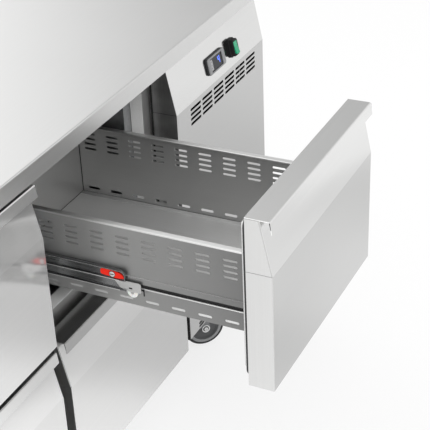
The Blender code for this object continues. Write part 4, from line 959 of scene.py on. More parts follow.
def make_gasket(drawer):
    """The bellows of the magnetic door seal round the liner."""
    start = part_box(drawer + "_gasket")[0].y - drawer_origin(drawer).y
    wide, tall, centre = liner_size(drawer)
    shares = [
        (0.0, 0.0), (1.0, 0.0), (1.0, 0.12), (0.7, 0.20), (0.7, 0.32), (1.0, 0.42), (1.0, 0.84), (0.88, 1.0),
        (0.12, 1.0), (0.0, 0.84), (0.0, 0.42), (0.3, 0.32), (0.3, 0.20), (0.0, 0.12),
    ]
    profile = [(GAP + GASKET_WIDTH * a, start + GASKET_THICKNESS * b) for a, b in shares]
    piece = Piece(drawer + "_seal")
    piece.add(frame_ring(wide, tall, LINER_CORNER, profile, "Y", centre), "gasket_rubber")
    return piece.done(drawer + "_drawer", [drawer + "_gasket"], drawer_origin(drawer), 30)


# Drawer boxes

def wall_place(x, y, z):
    """A sheet's own X runs back along the counter, its Y up and its thickness to the right."""
    return Matrix(((0, 0, 1, x), (1, 0, 0, y), (0, 1, 0, z), (0, 0, 0, 1)))


def face_place(x, y, z):
    """A sheet's own X runs along the front, its Y up and its thickness to the front."""
    return Matrix(((1, 0, 0, x), (0, 0, -1, y), (0, 1, 0, z), (0, 0, 0, 1)))


def make_box(drawer):
    """The slotted sheet metal box with its rolled rim."""
    left, front, bottom, right, back, top = box_size(drawer)
    sheet = BOX_SHEET
    rim = BOX_RIM
    pitch = sizes().slot_pitch
    groups = int((back - front - SLOT_ENDS) / pitch) + 1
    first = back - front - SLOT_FIRST - (groups - 1) * pitch
    values = {
        "Length": back - front, "Height": top - bottom - rim, "Sheet": sheet,
        "Slot length": sizes().slot_length, "Slot height": sizes().slot_height,
        "Columns": groups, "Column pitch": pitch, "First column": first,
        "Rows": SLOT_ROWS, "Row pitch": sizes().slot_step,
        "First row": top - bottom - SLOT_DROP - (SLOT_ROWS - 1) / 2 * sizes().slot_step,
        "Low slots": groups, "Low pitch": pitch, "Low first": first,
        "Low row": LOW_SLOT_RISE, "Low length": sizes().slot_length, "Low height": LOW_SLOT_HEIGHT,
    }
    piece = Piece(drawer + "_box_shell")
    for x, name in ((left, "near_wall_steel"), (right - sheet, "far_wall_steel")):
        piece.add(slotted_sheet(values, name), name, place=wall_place(x, front, bottom))
    seam = GAP
    for y in (front, back - sheet):
        low = (left + sheet + seam, y, bottom + seam)
        piece.add(block(low, (right - sheet - seam, y + sheet, top - rim)), "far_wall_steel")
    low = (left + sheet + seam, front + sheet + seam, bottom)
    piece.add(block(low, (right - sheet - seam, back - sheet - seam, bottom + sheet)), "box_floor_steel")
    # Pale folds along the floor's sides, painted light
    for x in (left + sheet + seam, right - sheet - seam - BOX_FOLD):
        low = (x, front + 3 * sheet, bottom + sheet)
        piece.add(block(low, (x + BOX_FOLD, back - 3 * sheet, bottom + sheet + seam)), "fold_steel_painted_light")
    # A pale backing just behind the left wall's low slots, painted light that shows through them
    low = (left + sheet + seam / 3, front + 3 * sheet, bottom + BACKING_LOW)
    piece.add(block(low, (left + sheet + seam, back - 3 * sheet, bottom + BACKING_HIGH)), "fold_steel_painted_light")
    # Dark lines in the box's inner corners and along its floor: joints and painted shade in the corners
    line = BOX_LINE
    floor = bottom + sheet
    ends = (front + sheet, back - sheet - line)
    sides = (left + sheet, right - sheet - line)
    lines = [((x, y, floor), (x + line, y + line, top - 2 * rim)) for y in ends for x in sides]
    for x in sides:
        lines.append(((x, front + 2 * sheet, floor), (x + line, back - 2 * sheet, floor + line / 2)))
    for y in ends:
        lines.append(((left + 2 * sheet, y, floor), (right - 2 * sheet, y + line, floor + line / 2)))
    for low, high in lines:
        piece.add(block(low, high), "dark_joint_and_painted_shadow")
    bend = BOX_RIM_BEND
    outer = [(-bend + bend * math.cos(a), top - bend + bend * math.sin(a))
             for a in (math.pi / 2 * n / 4 for n in range(5))]
    hem = BOX_FLANGE
    profile = [(0, top - rim), *outer, (-hem + sheet, top), (-hem, top - sheet), (-hem, top - rim),
               (-hem + sheet, top - rim), (-hem + sheet, top - sheet * 1.4), (-sheet, top - sheet * 1.4),
               (-sheet, top - rim)]
    ring = frame_ring(right - left, back - front, BOX_CORNER, profile, "Z",
                      ((left + right) / 2, (front + back) / 2), 1)
    piece.add(ring, "rim_steel")
    piece.done(drawer + "_drawer", [drawer + "_box"], drawer_origin(drawer), 30)
    make_box_rails(drawer)


def box_roller_place(drawer):
    """Depth and height of the roller at the rear end of the box's rail."""
    _, front, bottom, _, _, _ = box_size(drawer)
    y = front + RAIL_LENGTH - ROLLER_RADIUS
    z = bottom + MIDDLE_RISE + MIDDLE_HEIGHT - SLIDE_SHEET - GAP - ROLLER_RADIUS
    return y, z


def roller_solid(outward):
    """A nylon roller with a groove and a chamfer, from its carrier at zero outwards."""
    near = outward * ROLLER_SIDE_GAP
    wide = outward * ROLLER_WIDTH
    r = ROLLER_RADIUS
    bore = PIN_RADIUS + GAP
    profile = [
        (bore, near), (r * 0.94, near), (r, near + wide * 0.15), (r, near + wide * 0.8),
        (r * 0.95, near + wide), (r * 0.62, near + wide), (r * 0.58, near + wide * 0.82),
        (bore * 1.5, near + wide * 0.82), (bore * 1.4, near + wide), (bore, near + wide),
    ]
    return turned(profile, "X", 48)


def pin_solid(outward):
    """The pin that a roller turns on, with its flat head."""
    near = outward * (ROLLER_SIDE_GAP + ROLLER_WIDTH + GAP)
    head = outward * PIN_HEAD
    return spindle([
        (PIN_RADIUS, -outward * BOX_SHEET / 2), (PIN_RADIUS, near), (PIN_HEAD_RADIUS, near),
        (PIN_HEAD_RADIUS * 0.8, near + head),
    ], "X", 32)


def make_box_rails(drawer):
    """The drawer's own channels of the slides, one on each side of the box."""
    left, front, bottom, right, _, _ = box_size(drawer)
    low = bottom + RAIL_RISE
    high = low + RAIL_HEIGHT
    s = SLIDE_SHEET
    web = left - s
    out = left - RAIL_DEPTH
    outline = [
        (left, low), (out + s / 2, low), (out, low + s / 2), (out, low + 2 * s), (out + s * 0.7, low + 2 * s),
        (out + s * 0.7, low + s), (web, low + s), (web, high), (left, high),
    ]
    # The groove is a dark line painted as the shadow under the rail's upper part, which takes the wall's
    # finish with its painted shade; the channel is light zinc, partly a painted highlight
    ledge = low + RAIL_GROOVE
    groove = [(web - GAP, low + s), (web, low + s), (web, ledge), (web - GAP, ledge)]
    plate = [(web - s * 0.5, ledge), (web, ledge), (web, high), (web - s * 0.5, high - s * 0.5)]
    end = front + RAIL_LENGTH - 2 * ROLLER_RADIUS - RAIL_STOP
    y, z = box_roller_place(drawer)
    rise = CHEEK_RISE
    cheek = smoothed([
        (end - CHEEK_FRONT, z - rise), (y + CHEEK_REAR, z - rise), (y + CHEEK_REAR, z + rise),
        (end - CHEEK_FRONT, z + rise),
    ])
    move = Matrix.Translation((left, y, z))
    piece = Piece(drawer + "_box_rails")
    for mirror in (None, (left + right) / 2):
        piece.add(prism(outline, "Y", front, end), "light_zinc_and_painted_highlight", s / 8, mirror=mirror)
        piece.add(prism(groove, "Y", front, end), "dark_joint_and_painted_shadow", mirror=mirror)
        piece.add(prism(plate, "Y", front, end), "near_wall_steel", GAP / 2, mirror=mirror)
        piece.add(prism(cheek, "X", left - s, left), "slide_zinc", s / 8, mirror=mirror)
        piece.add(pin_solid(-1), "bolt_steel", place=move, mirror=mirror)
        if drawer != OPEN_DRAWER:
            piece.add(roller_solid(-1), "nylon", place=move, mirror=mirror)
    return piece.done(drawer + "_drawer", origin=drawer_origin(drawer))


# Slides

def slide_shift(drawer):
    """How far the middle member stands back from its drawer when the drawer is drawn out."""
    return (drawer_origin("upper_left").y - drawer_origin(drawer).y) / 2


def closed_place(drawer):
    """Where a drawer's origin lies on the counter when the drawer is shut."""
    return drawer_origin(drawer) + Vector((0, 2 * slide_shift(drawer), 0)) - counter_origin()


def slide_heights(drawer):
    """The lower edge, ridge and upper edge of a middle member, and the roller's height."""
    bottom = box_size(drawer)[2]
    low = bottom + MIDDLE_RISE
    return low, low + MIDDLE_HEIGHT / 2, low + MIDDLE_HEIGHT, bottom + RAIL_RISE - GAP - ROLLER_RADIUS


def arc(centre, radius, start, end, steps=6):
    """Points on an arc, by its angles in degrees."""
    turns = [math.radians(start + (end - start) * n / steps) for n in range(steps + 1)]
    return [(centre[0] + radius * math.cos(a), centre[1] + radius * math.sin(a)) for a in turns]


def member_shells(drawer):
    """The web, lips and ridges of a middle member on the drawer's left, as (shell, edge) pairs."""
    left = box_size(drawer)[0]
    low, ridge, high, _ = slide_heights(drawer)
    s = SLIDE_SHEET
    inner = left - MIDDLE_OFFSET
    outer = inner - s
    reach = outer - MIDDLE_DEPTH + s
    front = MIDDLE_FRONT + BRACKET_STEP
    back = MIDDLE_FRONT + MIDDLE_LENGTH
    r = MEMBER_CORNER
    turn = (front + r, high - r)
    web = [(back, low), (front, low), *arc(turn, r, 180, 90), (back, high)]
    lip = [(back, high), *arc(turn, r, 90, 180), (front, ridge), (front + s, ridge),
           *arc(turn, r - s, 180, 90), (back, high - s)]
    shells = [(prism(web, "X", outer, inner), s / 8), (prism(lip, "X", reach, outer + s / 2), s / 5)]
    for z in (low, ridge):
        shells.append((block((reach + s / 4, front, z), (outer + s / 2, back, z + s)), s / 5))
    inward = block((inner - s / 2, front + r, high - s), (inner + MIDDLE_INNER_REACH, back, high))
    shells.append((inward, s / 5))
    return shells


def bracket_shell(drawer):
    """The plate at the member's front end, which holds the roller's pin, with its rivet hole."""
    left = box_size(drawer)[0]
    _, ridge, _, z = slide_heights(drawer)
    front = MIDDLE_FRONT
    back = front + BRACKET_LENGTH
    low = z + BRACKET_LIFT
    r = BRACKET_CORNER
    ramp, climb = BRACKET_RAMP
    plate = [
        *arc((front + r, low + r), r, 180, 270, 3), (back - BRACKET_HEEL, low), (back + ramp, low + climb),
        (back + BRACKET_TAIL, ridge), *arc((front + r, ridge - r), r, 90, 180, 3),
    ]
    hole = rivet_outline(z)
    outer = left - MIDDLE_OFFSET - SLIDE_SHEET
    sheet = holed_sheet(plate, [hole], SLIDE_SHEET)
    mesh = bpy.data.meshes.new("bracket")
    sheet.to_mesh(mesh)
    sheet.free()
    mesh.transform(wall_place(outer - SLIDE_SHEET / 4, 0, 0))
    return mesh


def rivet_outline(z, margin=0.0):
    """The rivet hole of the bracket above a roller at the given height, or a larger dark mark behind it,
    painted shade seen through the hole.
    """
    y = MIDDLE_FRONT + BRACKET_LENGTH / 2
    width, height = RIVET_SIZE
    shape = rounded(width + margin, height + margin, RIVET_CORNER, 3)
    return [(a + y + RIVET_PLACE[0], b + z + RIVET_PLACE[1]) for a, b in shape]


def screw_solid(radius, height):
    """A slotted screw head along X, from zero outwards to the left."""
    head = spindle([(radius, 0), (radius, -height * 0.6), (radius * 0.8, -height)], "X", 32)
    slot = block((-height * 1.2, -radius * 0.8, -radius * 0.14), (-height * 0.5, radius * 0.8, radius * 0.14))
    return head, slot


def make_slide(drawer, word):
    """One telescopic member with its bracket, hook, roller pin and dimples.

    At the open drawer it holds the screw of the release lever, at the others a fixed roller.
    """
    left, _, _, right, _, _ = box_size(drawer)
    low, ridge, high, z = slide_heights(drawer)
    mirror = None if word == "left" else (left + right) / 2
    s = SLIDE_SHEET
    inner = left - MIDDLE_OFFSET
    outer = inner - s
    front = MIDDLE_FRONT
    name = drawer + "_" + word + "_slide"
    piece = Piece(name + "_member")
    for shell, edge in member_shells(drawer):
        piece.add(shell, "slide_zinc", edge, mirror=mirror)
    reach = outer - MIDDLE_DEPTH + s
    # Thin light strips along the lips and the ridge: painted highlights
    for level in (low, ridge, high - s):
        start = (reach, front + BRACKET_STEP + RIDGE_START, level)
        shine = block(start, (reach + s / 3, front + MIDDLE_LENGTH, level + s))
        piece.add(shine, "light_zinc_and_painted_highlight", s / 8, mirror=mirror)
    piece.add(bracket_shell(drawer), "bracket_zinc", mirror=mirror)
    # A dark mark behind the rivet hole: painted shade in the hole
    mark = rivet_outline(z, RIVET_MARGIN)
    piece.add(prism(mark, "X", outer + s * 0.4, outer + s * 0.6), "dark_joint_and_painted_shadow", mirror=mirror)
    foot = z - PIN_RADIUS
    hook = [(front + HOOK_BACK, foot + HOOK_SHOULDER), (front - HOOK_LEDGE, foot + HOOK_SHOULDER),
            (front - HOOK_LEDGE, foot + HOOK_FOOT), (front - HOOK_FRONT, foot + HOOK_FOOT),
            (front - HOOK_FRONT, foot + HOOK_TOP), (front + HOOK_BACK, foot + HOOK_TOP)]
    piece.add(prism(hook, "X", outer, inner), "black_plastic", s / 6, mirror=mirror)
    move = Matrix.Translation((inner, front + BRACKET_LENGTH / 2, z))
    piece.add(pin_solid(1), "bolt_steel", place=move, mirror=mirror)
    if drawer == OPEN_DRAWER:
        depth, height = lever_place(drawer)
        pivot = Matrix.Translation((outer - GAP - LEVER_THICKNESS, depth - LEVER_SHIFT, height))
        ring = spindle([(LEVER_RING_RADIUS, 0), (LEVER_RING_RADIUS, -GAP / 3)], "X", 32)
        piece.add(ring, "dark_joint_and_painted_shadow", place=pivot, mirror=mirror)
        head, slot = screw_solid(LEVER_SCREW_RADIUS, LEVER_SCREW_HEIGHT)
        piece.add(head, "light_zinc_and_painted_highlight", place=pivot, mirror=mirror)
        piece.add(slot, "black_plastic", place=pivot, mirror=mirror)
    else:
        piece.add(roller_solid(1), "nylon", place=move, mirror=mirror)
    for spot in DIMPLE_SPOTS:
        dimple = spindle([(DIMPLE_RADIUS, outer + s / 2), (DIMPLE_RADIUS, outer - DIMPLE_HEIGHT / 2),
                          (DIMPLE_TOP_RADIUS, outer - DIMPLE_HEIGHT)], "X", 20)
        move = Matrix.Translation((0, front + spot, ridge - DIMPLE_DROP))
        piece.add(dimple, "slide_zinc", place=move, mirror=mirror)
    origin = drawer_origin(drawer) + Vector((0, slide_shift(drawer), 0))
    return piece.done(name, [name], origin)


def held(outline, room, swing):
    """The outline kept inside a channel of the given half height while it swings either way."""
    kept = []
    for y, z in outline:
        most = (room - abs(y) * math.sin(swing)) / math.cos(swing)
        kept.append((y, max(-most, min(most, z))))
    return kept


def lever_place(drawer):
    """Depth and height of a release lever's pin."""
    _, ridge, high, _ = slide_heights(drawer)
    return MIDDLE_FRONT + LEVER_PIVOT, (ridge + high) / 2


def make_slide_fittings(word):
    """The loose rollers and the red release lever of the open drawer's slide."""
    drawer = OPEN_DRAWER
    left, _, _, right, _, _ = box_size(drawer)
    _, _, _, z = slide_heights(drawer)
    mirror = None if word == "left" else (left + right) / 2
    origin = drawer_origin(drawer)
    slide_origin = origin + Vector((0, slide_shift(drawer), 0))
    inner = left - MIDDLE_OFFSET
    name = drawer + "_" + word + "_front_roller"
    piece = Piece(name + "_wheel")
    move = Matrix.Translation((inner, MIDDLE_FRONT + BRACKET_LENGTH / 2, z))
    piece.add(roller_solid(1), "nylon", place=move, mirror=mirror)
    piece.done(name, [name], slide_origin)
    name = drawer + "_" + word + "_rear_roller"
    piece = Piece(name + "_wheel")
    move = Matrix.Translation((left, *box_roller_place(drawer)))
    piece.add(roller_solid(-1), "nylon", place=move, mirror=mirror)
    piece.done(name, [name], origin)
    name = drawer + "_" + word + "_release_lever"
    half = LEVER_HEIGHT / 2
    shares = [
        (-0.50, -0.75), (-0.42, -1.0), (-0.15, -0.95), (0.0, -0.72), (0.22, -0.70), (0.40, -0.62),
        (0.52, -0.45), (0.52, 0.70), (0.38, 0.95), (0.05, 0.85), (-0.25, 0.62), (-0.46, 0.15),
    ]
    fuller = 1.5 * half
    outline = smoothed([(LEVER_LENGTH * a - LEVER_SHIFT, fuller * b) for a, b in shares], 2)
    outline = held(outline, MIDDLE_HEIGHT / 4 - SLIDE_SHEET - GAP, LEVER_SWING)
    ridge = smoothed([(LEVER_LENGTH * a * 0.72, half * b * 0.45) for a, b in shares], 2)
    outer = inner - SLIDE_SHEET
    move = Matrix.Translation((outer - GAP, *lever_place(drawer)))
    piece = Piece(name + "_grip")
    piece.add(prism(outline, "X", 0, -LEVER_THICKNESS * 0.8), "lever_plastic", LEVER_EDGE, move, mirror)
    raised = prism(ridge, "X", -LEVER_THICKNESS * 0.7, -LEVER_THICKNESS)
    piece.add(raised, "lever_plastic", LEVER_EDGE / 2, move, mirror)
    piece.done(name, [name], slide_origin)


# Worktop, machine panel and rear grille

def make_worktop():
    """The worktop's folded sheet: rolled front edge, soft ends and a seam along its lower edge."""
    low, high = (corner - counter_origin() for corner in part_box("worktop"))
    r = TOP_EDGE_RADIUS
    front = low.y
    rolled = [(front + r * (1 - math.cos(a)), high.z - r * (1 - math.sin(a)))
              for a in (math.pi / 2 * n / 8 for n in range(9))]
    outline = [(high.y, low.z + GAP), (front + GAP, low.z + GAP), *rolled, (high.y, high.z)]
    piece = Piece("worktop_sheet")
    piece.add(prism(outline, "X", low.x, high.x), "worktop_steel", sizes().edge)
    hem = [(high.y - HEM, low.z), (front + HEM_INSET, low.z), (front + HEM_INSET, low.z + HEM),
           (high.y - HEM, low.z + HEM)]
    piece.add(prism(hem, "X", low.x + HEM_INSET, high.x - HEM_INSET), "steel_upright", GAP)
    return piece.done("cabinet", ["worktop"], counter_origin(), 30)


def panel_size():
    """The machine panel's left, front, bottom, right, back and top, and the height of its bend."""
    low, high = (corner - counter_origin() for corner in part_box("machine_panel"))
    bend = drawer_origin("upper_left").z - SLOPE_HEIGHT
    return low.x, low.y, low.z, high.x, high.y, high.z, bend


def slope_place(offset):
    """A place on the sloped control strip: X along it, Y into it, Z up the slope."""
    z = drawer_origin("upper_left").z - CONTROLLER_DROP
    bend = panel_size()[6]
    spot = counter_origin() + Vector((MACHINE_X + offset, (z - bend) * SLOPE_SETBACK / SLOPE_HEIGHT, z))
    return Matrix.Translation(spot) @ Matrix.Rotation(-math.atan2(SLOPE_SETBACK, SLOPE_HEIGHT), 4, "X")


def make_machine_panel():
    """The machine compartment's front: vented face, sloped control strip with its cut-outs, returns."""
    edge, front, bottom, right, back, top, bend = panel_size()
    left = edge + PANEL_TRIM
    s = SHEET
    inset = GAP / 3
    piece = Piece("machine_front_panel")
    values = {
        "Length": right - left, "Height": bend - bottom, "Sheet": s,
        "Slot length": sizes().vent_length, "Slot height": sizes().vent_height,
        "Columns": VENT_COLUMNS, "Column pitch": VENT_PITCH, "First column": VENT_FIRST - PANEL_TRIM,
        "Rows": VENT_ROWS, "Row pitch": VENT_STEP,
        "First row": bend - VENT_DROP - (VENT_ROWS - 1) * VENT_STEP - bottom,
        "Low slots": LOW_VENTS, "Low pitch": 0.0, "Low step": LOW_VENT_STEP,
        "Low first": LOW_VENT_OFFSET - PANEL_TRIM, "Low row": LOW_VENT_RISE, "Low length": LOW_VENT_LENGTH,
        "Low height": sizes().vent_height,
    }
    face = slotted_sheet(values, "panel_steel")
    piece.add(face, "panel_steel", place=face_place(left, front + s, bottom))
    lean = math.atan2(SLOPE_SETBACK, SLOPE_HEIGHT)
    length = (top - bend) / math.cos(lean)
    middle = (SLOPE_HEIGHT - CONTROLLER_DROP) / math.cos(lean)
    holes = []
    for offset, (width, height, _) in ((CONTROLLER_OFFSET, CONTROLLER_NECK), (SWITCH_OFFSET, SWITCH_NECK)):
        centre = (offset - PANEL_TRIM, middle)
        holes.append(rounded(width + 2 * GAP, height + 2 * GAP, CUTOUT_CORNER, 3, centre))
    strip = holed_sheet([(0, 0), (right - left, 0), (right - left, length), (0, length)], holes, s)
    place = Matrix.Translation((left, front, bend)) @ Matrix.Rotation(-lean, 4, "X")
    place = place @ face_place(0, s, 0)
    piece.add(strip, "steel_along", place=place)
    setback = SLOPE_SETBACK * (top - bend) / SLOPE_HEIGHT
    rear = back - RETURN_EDGE
    side = [(front + inset, bottom + inset), (front + inset, bend), (setback + inset, top - inset),
            (rear, top - inset), (rear, bottom + inset)]
    # The left return is painted dark as shade, the right one is plain steel; dark lines at both returns' rear
    # edges
    for x, name in ((left + inset, "return_steel_painted_shade"), (right - s - inset, "steel_upright")):
        piece.add(prism(side, "X", x, x + s), name)
        low = (x + s / 3, rear - inset, bottom + inset)
        piece.add(block(low, (x + s * 2 / 3, back, top - inset)), "dark_joint_and_painted_shadow")
    front_top = drawer_origin("lower_right").z - counter_origin().z
    # A dark strip painted as the left return's shadow, a dark slit beside it, and a line at the bend that is
    # seam and painted shade
    for low, high in (
        ((left, front + s, bottom + inset), (left + inset * 2, PANEL_RETURN + TRIM_SHADOW, front_top)),
        ((left, front - inset, bottom + inset), (left + SLIT_WIDTH, front + s, front_top - SLIT_DROP)),
        ((left, front + s, bend - BEND_LINE), (left + inset * 2, rear, bend + BEND_LINE)),
    ):
        piece.add(block(low, high), "dark_joint_and_painted_shadow")
    low = (left + s + 2 * inset, front + inset, bottom + inset)
    piece.add(block(low, (right - s - 2 * inset, PANEL_RETURN, bottom + s)), "lining_steel")
    return piece.done("cabinet", ["machine_panel"], counter_origin(), 30)


def make_rear_grille():
    """The rear sheet of the machine compartment with its air slots."""
    low, high = (corner - counter_origin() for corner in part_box("machine_rear_grille"))
    width = (high.x - low.x - 2 * GRILLE_MARGIN - (GRILLE_COLUMNS - 1) * GRILLE_BRIDGE) / GRILLE_COLUMNS
    height = high.z - low.z - 2 * GRILLE_MARGIN
    values = {
        "Length": high.x - low.x, "Height": high.z - low.z, "Sheet": SHEET,
        "Slot length": width, "Slot height": GRILLE_SLOT_HEIGHT,
        "Columns": GRILLE_COLUMNS, "Column pitch": width + GRILLE_BRIDGE,
        "First column": GRILLE_MARGIN + width / 2, "Rows": GRILLE_ROWS, "Row pitch": height / GRILLE_ROWS,
        "First row": GRILLE_MARGIN + height / GRILLE_ROWS / 2,
    }
    piece = Piece("machine_rear_sheet")
    sheet = slotted_sheet(values, "steel_upright")
    piece.add(sheet, "steel_upright", place=face_place(low.x, high.y, low.z))
    return piece.done("cabinet", ["machine_rear_grille"], counter_origin(), 30)


# Controls

# The strokes of a generic digit four: place in half widths and heights, and whether it is upright
DIGIT_STROKES = [(-1, 0.5, True), (1, 0.5, True), (1, -0.5, True), (0, 0, False)]


def scaled(outline, share):
    """The outline drawn in towards its origin."""
    return [(x * share, z * share) for x, z in outline]


def make_controller():
    """The thermostat: dark housing, silver frame, keys at its left and the display's digit."""
    place = slope_place(CONTROLLER_OFFSET)
    face = -GAP - THERMOSTAT_PROUD
    piece = Piece("thermostat")
    rim = rounded(CONTROLLER_WIDTH + CONTROLLER_RIM, CONTROLLER_HEIGHT, CONTROLLER_CORNER, 6,
                  (CONTROLLER_RIM / 2, 0))
    rings = [set_out(scaled(rim, share), "Y", depth)
             for share, depth in ((1.0, -GAP), (1.0, face * 0.55), (0.985, face * 0.72))]
    piece.add(lofted(rings), "housing_plastic", place=place)
    wide, tall = DISPLAY_WIDTH + WINDOW_MARGIN[0], DISPLAY_HEIGHT + WINDOW_MARGIN[1]
    window = rounded(wide, tall, WINDOW_CORNER, 6)
    flange = rounded(wide + WINDOW_FLANGE[0], tall + WINDOW_FLANGE[1], WINDOW_FLANGE_CORNER, 6)
    floor = face + DISPLAY_RECESS + DISPLAY_DEPTH + GAP
    steps = ((0.985, face * 0.70), (0.975, face * 0.88), (0.95, face * 0.985), (0.93, face))
    bezel = [set_out(scaled(rim, share), "Y", depth) for share, depth in steps]
    bezel += [set_out(window, "Y", face), set_out(window, "Y", floor), set_out(flange, "Y", floor)]
    piece.add(lofted(bezel, False), "bezel_plastic", place=place)
    width, height, depth = CONTROLLER_NECK
    neck = prism(rounded(width, height, CUTOUT_CORNER, 3), "Y", -GAP * 1.5, depth)
    piece.add(neck, "housing_plastic", place=place)
    piece.done("cabinet", ["controller"], (0, 0, 0), 30)
    piece = Piece("thermostat_window")
    glass = rounded(wide - 2 * GAP, tall - 2 * GAP, GLASS_CORNER, 6)
    front = face + DISPLAY_RECESS
    piece.add(prism(glass, "Y", front + GAP, front + DISPLAY_DEPTH), "display_glass", GAP / 2, place)
    pad = rounded(KEY_WIDTH, DISPLAY_HEIGHT - KEY_MARGIN, KEY_CORNER, 4, (KEY_PLACE, 0))
    piece.add(prism(pad, "Y", front + GAP * 1.5, front + GAP / 2), "key_plastic", GAP / 3, place)
    for z in (-KEY_STEP, 0.0, KEY_STEP):
        mark = rounded(*KEY_MARK, 3, (KEY_PLACE, z))
        piece.add(prism(mark, "Y", front + GAP / 2, front - GAP / 6), "housing_plastic", place=place)
    digit = place @ Matrix.Translation(DIGIT_PLACE)
    for a, b, upright in DIGIT_STROKES:
        w, h = (STROKE, DIGIT_SIZE) if upright else (DIGIT_SIZE * 0.8, STROKE)
        stroke = rounded(w, h * 0.94, STROKE_CORNER, 2, (a * DIGIT_SIZE * 0.4, b * DIGIT_SIZE))
        piece.add(prism(stroke, "Y", front + GAP, front + GAP / 2), "digit_light", place=digit)
    return piece.done("cabinet", ["display_window"], (0, 0, 0), 30)


def make_switch():
    """The main switch: a black housing with a raised collar round its lit rocker."""
    place = slope_place(SWITCH_OFFSET)
    face = -GAP - SWITCH_PROUD
    piece = Piece("main_switch_housing")
    rings = []
    for grow, corner, depth in (
        (0.0, 0.006, -GAP), (0.0, 0.006, face * 0.28), (-0.0016, 0.0055, face * 0.34),
        (-0.0022, 0.005, face * 0.9), (-0.0034, 0.004, face),
    ):
        size = (SWITCH_WIDTH - SWITCH_TRIM + 2 * grow, SWITCH_HEIGHT + 2 * grow)
        rings.append(set_out(rounded(*size, corner, 6, (SWITCH_TRIM / 2, 0)), "Y", depth))
    well = (LIT_WIDTH + 2 * GAP, ROCKER_HEIGHT + 2 * ROCKER_CLEARANCE)
    rings.append(set_out(rounded(*well, CUTOUT_CORNER, 6), "Y", face))
    rings.append(set_out(rounded(*well, CUTOUT_CORNER, 6), "Y", face + ROCKER_WELL))
    rings.append(set_out(rounded(WELL_END, WELL_END, WELL_END_CORNER, 6), "Y", face + ROCKER_WELL))
    piece.add(lofted(rings), "black_plastic", place=place)
    width, height, depth = SWITCH_NECK
    neck = prism(rounded(width, height, CUTOUT_CORNER, 3), "Y", -GAP * 1.5, depth)
    piece.add(neck, "black_plastic", place=place)
    pivot = face + ROCKER_PIVOT_DEPTH
    reach = LIT_WIDTH / 2 + ROCKER_CLEARANCE
    pin = spindle([(ROCKER_PIN_RADIUS, -reach), (ROCKER_PIN_RADIUS, reach)], "X", 24)
    piece.add(pin, "black_plastic", place=place @ Matrix.Translation((0, pivot, 0)))
    piece.done("cabinet", ["switch_housing"], (0, 0, 0), 30)
    hinge = place @ Matrix.Translation((0, pivot, 0)) @ Matrix.Rotation(-ROCKER_TILT, 4, "X")
    piece = Piece("main_switch_rocker")
    half = ROCKER_HEIGHT / 2
    front = -ROCKER_PIVOT_DEPTH - ROCKER_CLEARANCE
    hollow = [(front - ROCKER_CLEARANCE * (n / 8) ** 2, half * n / 8) for n in range(-8, 9)]
    outline = [(ROCKER_PIVOT_DEPTH, half / 2), (ROCKER_PIVOT_DEPTH, -half / 2), (front / 2, -half),
               *hollow, (front / 2, half)]
    across = LIT_WIDTH / 2
    piece.add(prism(outline, "X", -across, across), "rocker_green", ROCKER_EDGE, hinge, segments=4)
    piece.done("rocker", ["switch_rocker"], (0, 0, 0), 30)


# Castors

def castor_spots():
    """The places of the castors' king pins on the counter."""
    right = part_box("worktop")[1].x - counter_origin().x - CASTOR_INSET_END
    rear = BODY_DEPTH - CASTOR_INSET_BACK
    return {
        "front_left": (CASTOR_INSET_END, CASTOR_INSET_FRONT), "front_right": (right, CASTOR_INSET_FRONT),
        "rear_left": (CASTOR_INSET_END, rear), "rear_right": (right, rear),
    }


def wheel_axle(castor):
    """The axle's height, from the wheel's own box."""
    low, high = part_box(castor + "_castor_wheel")
    return (low.z + high.z) / 2


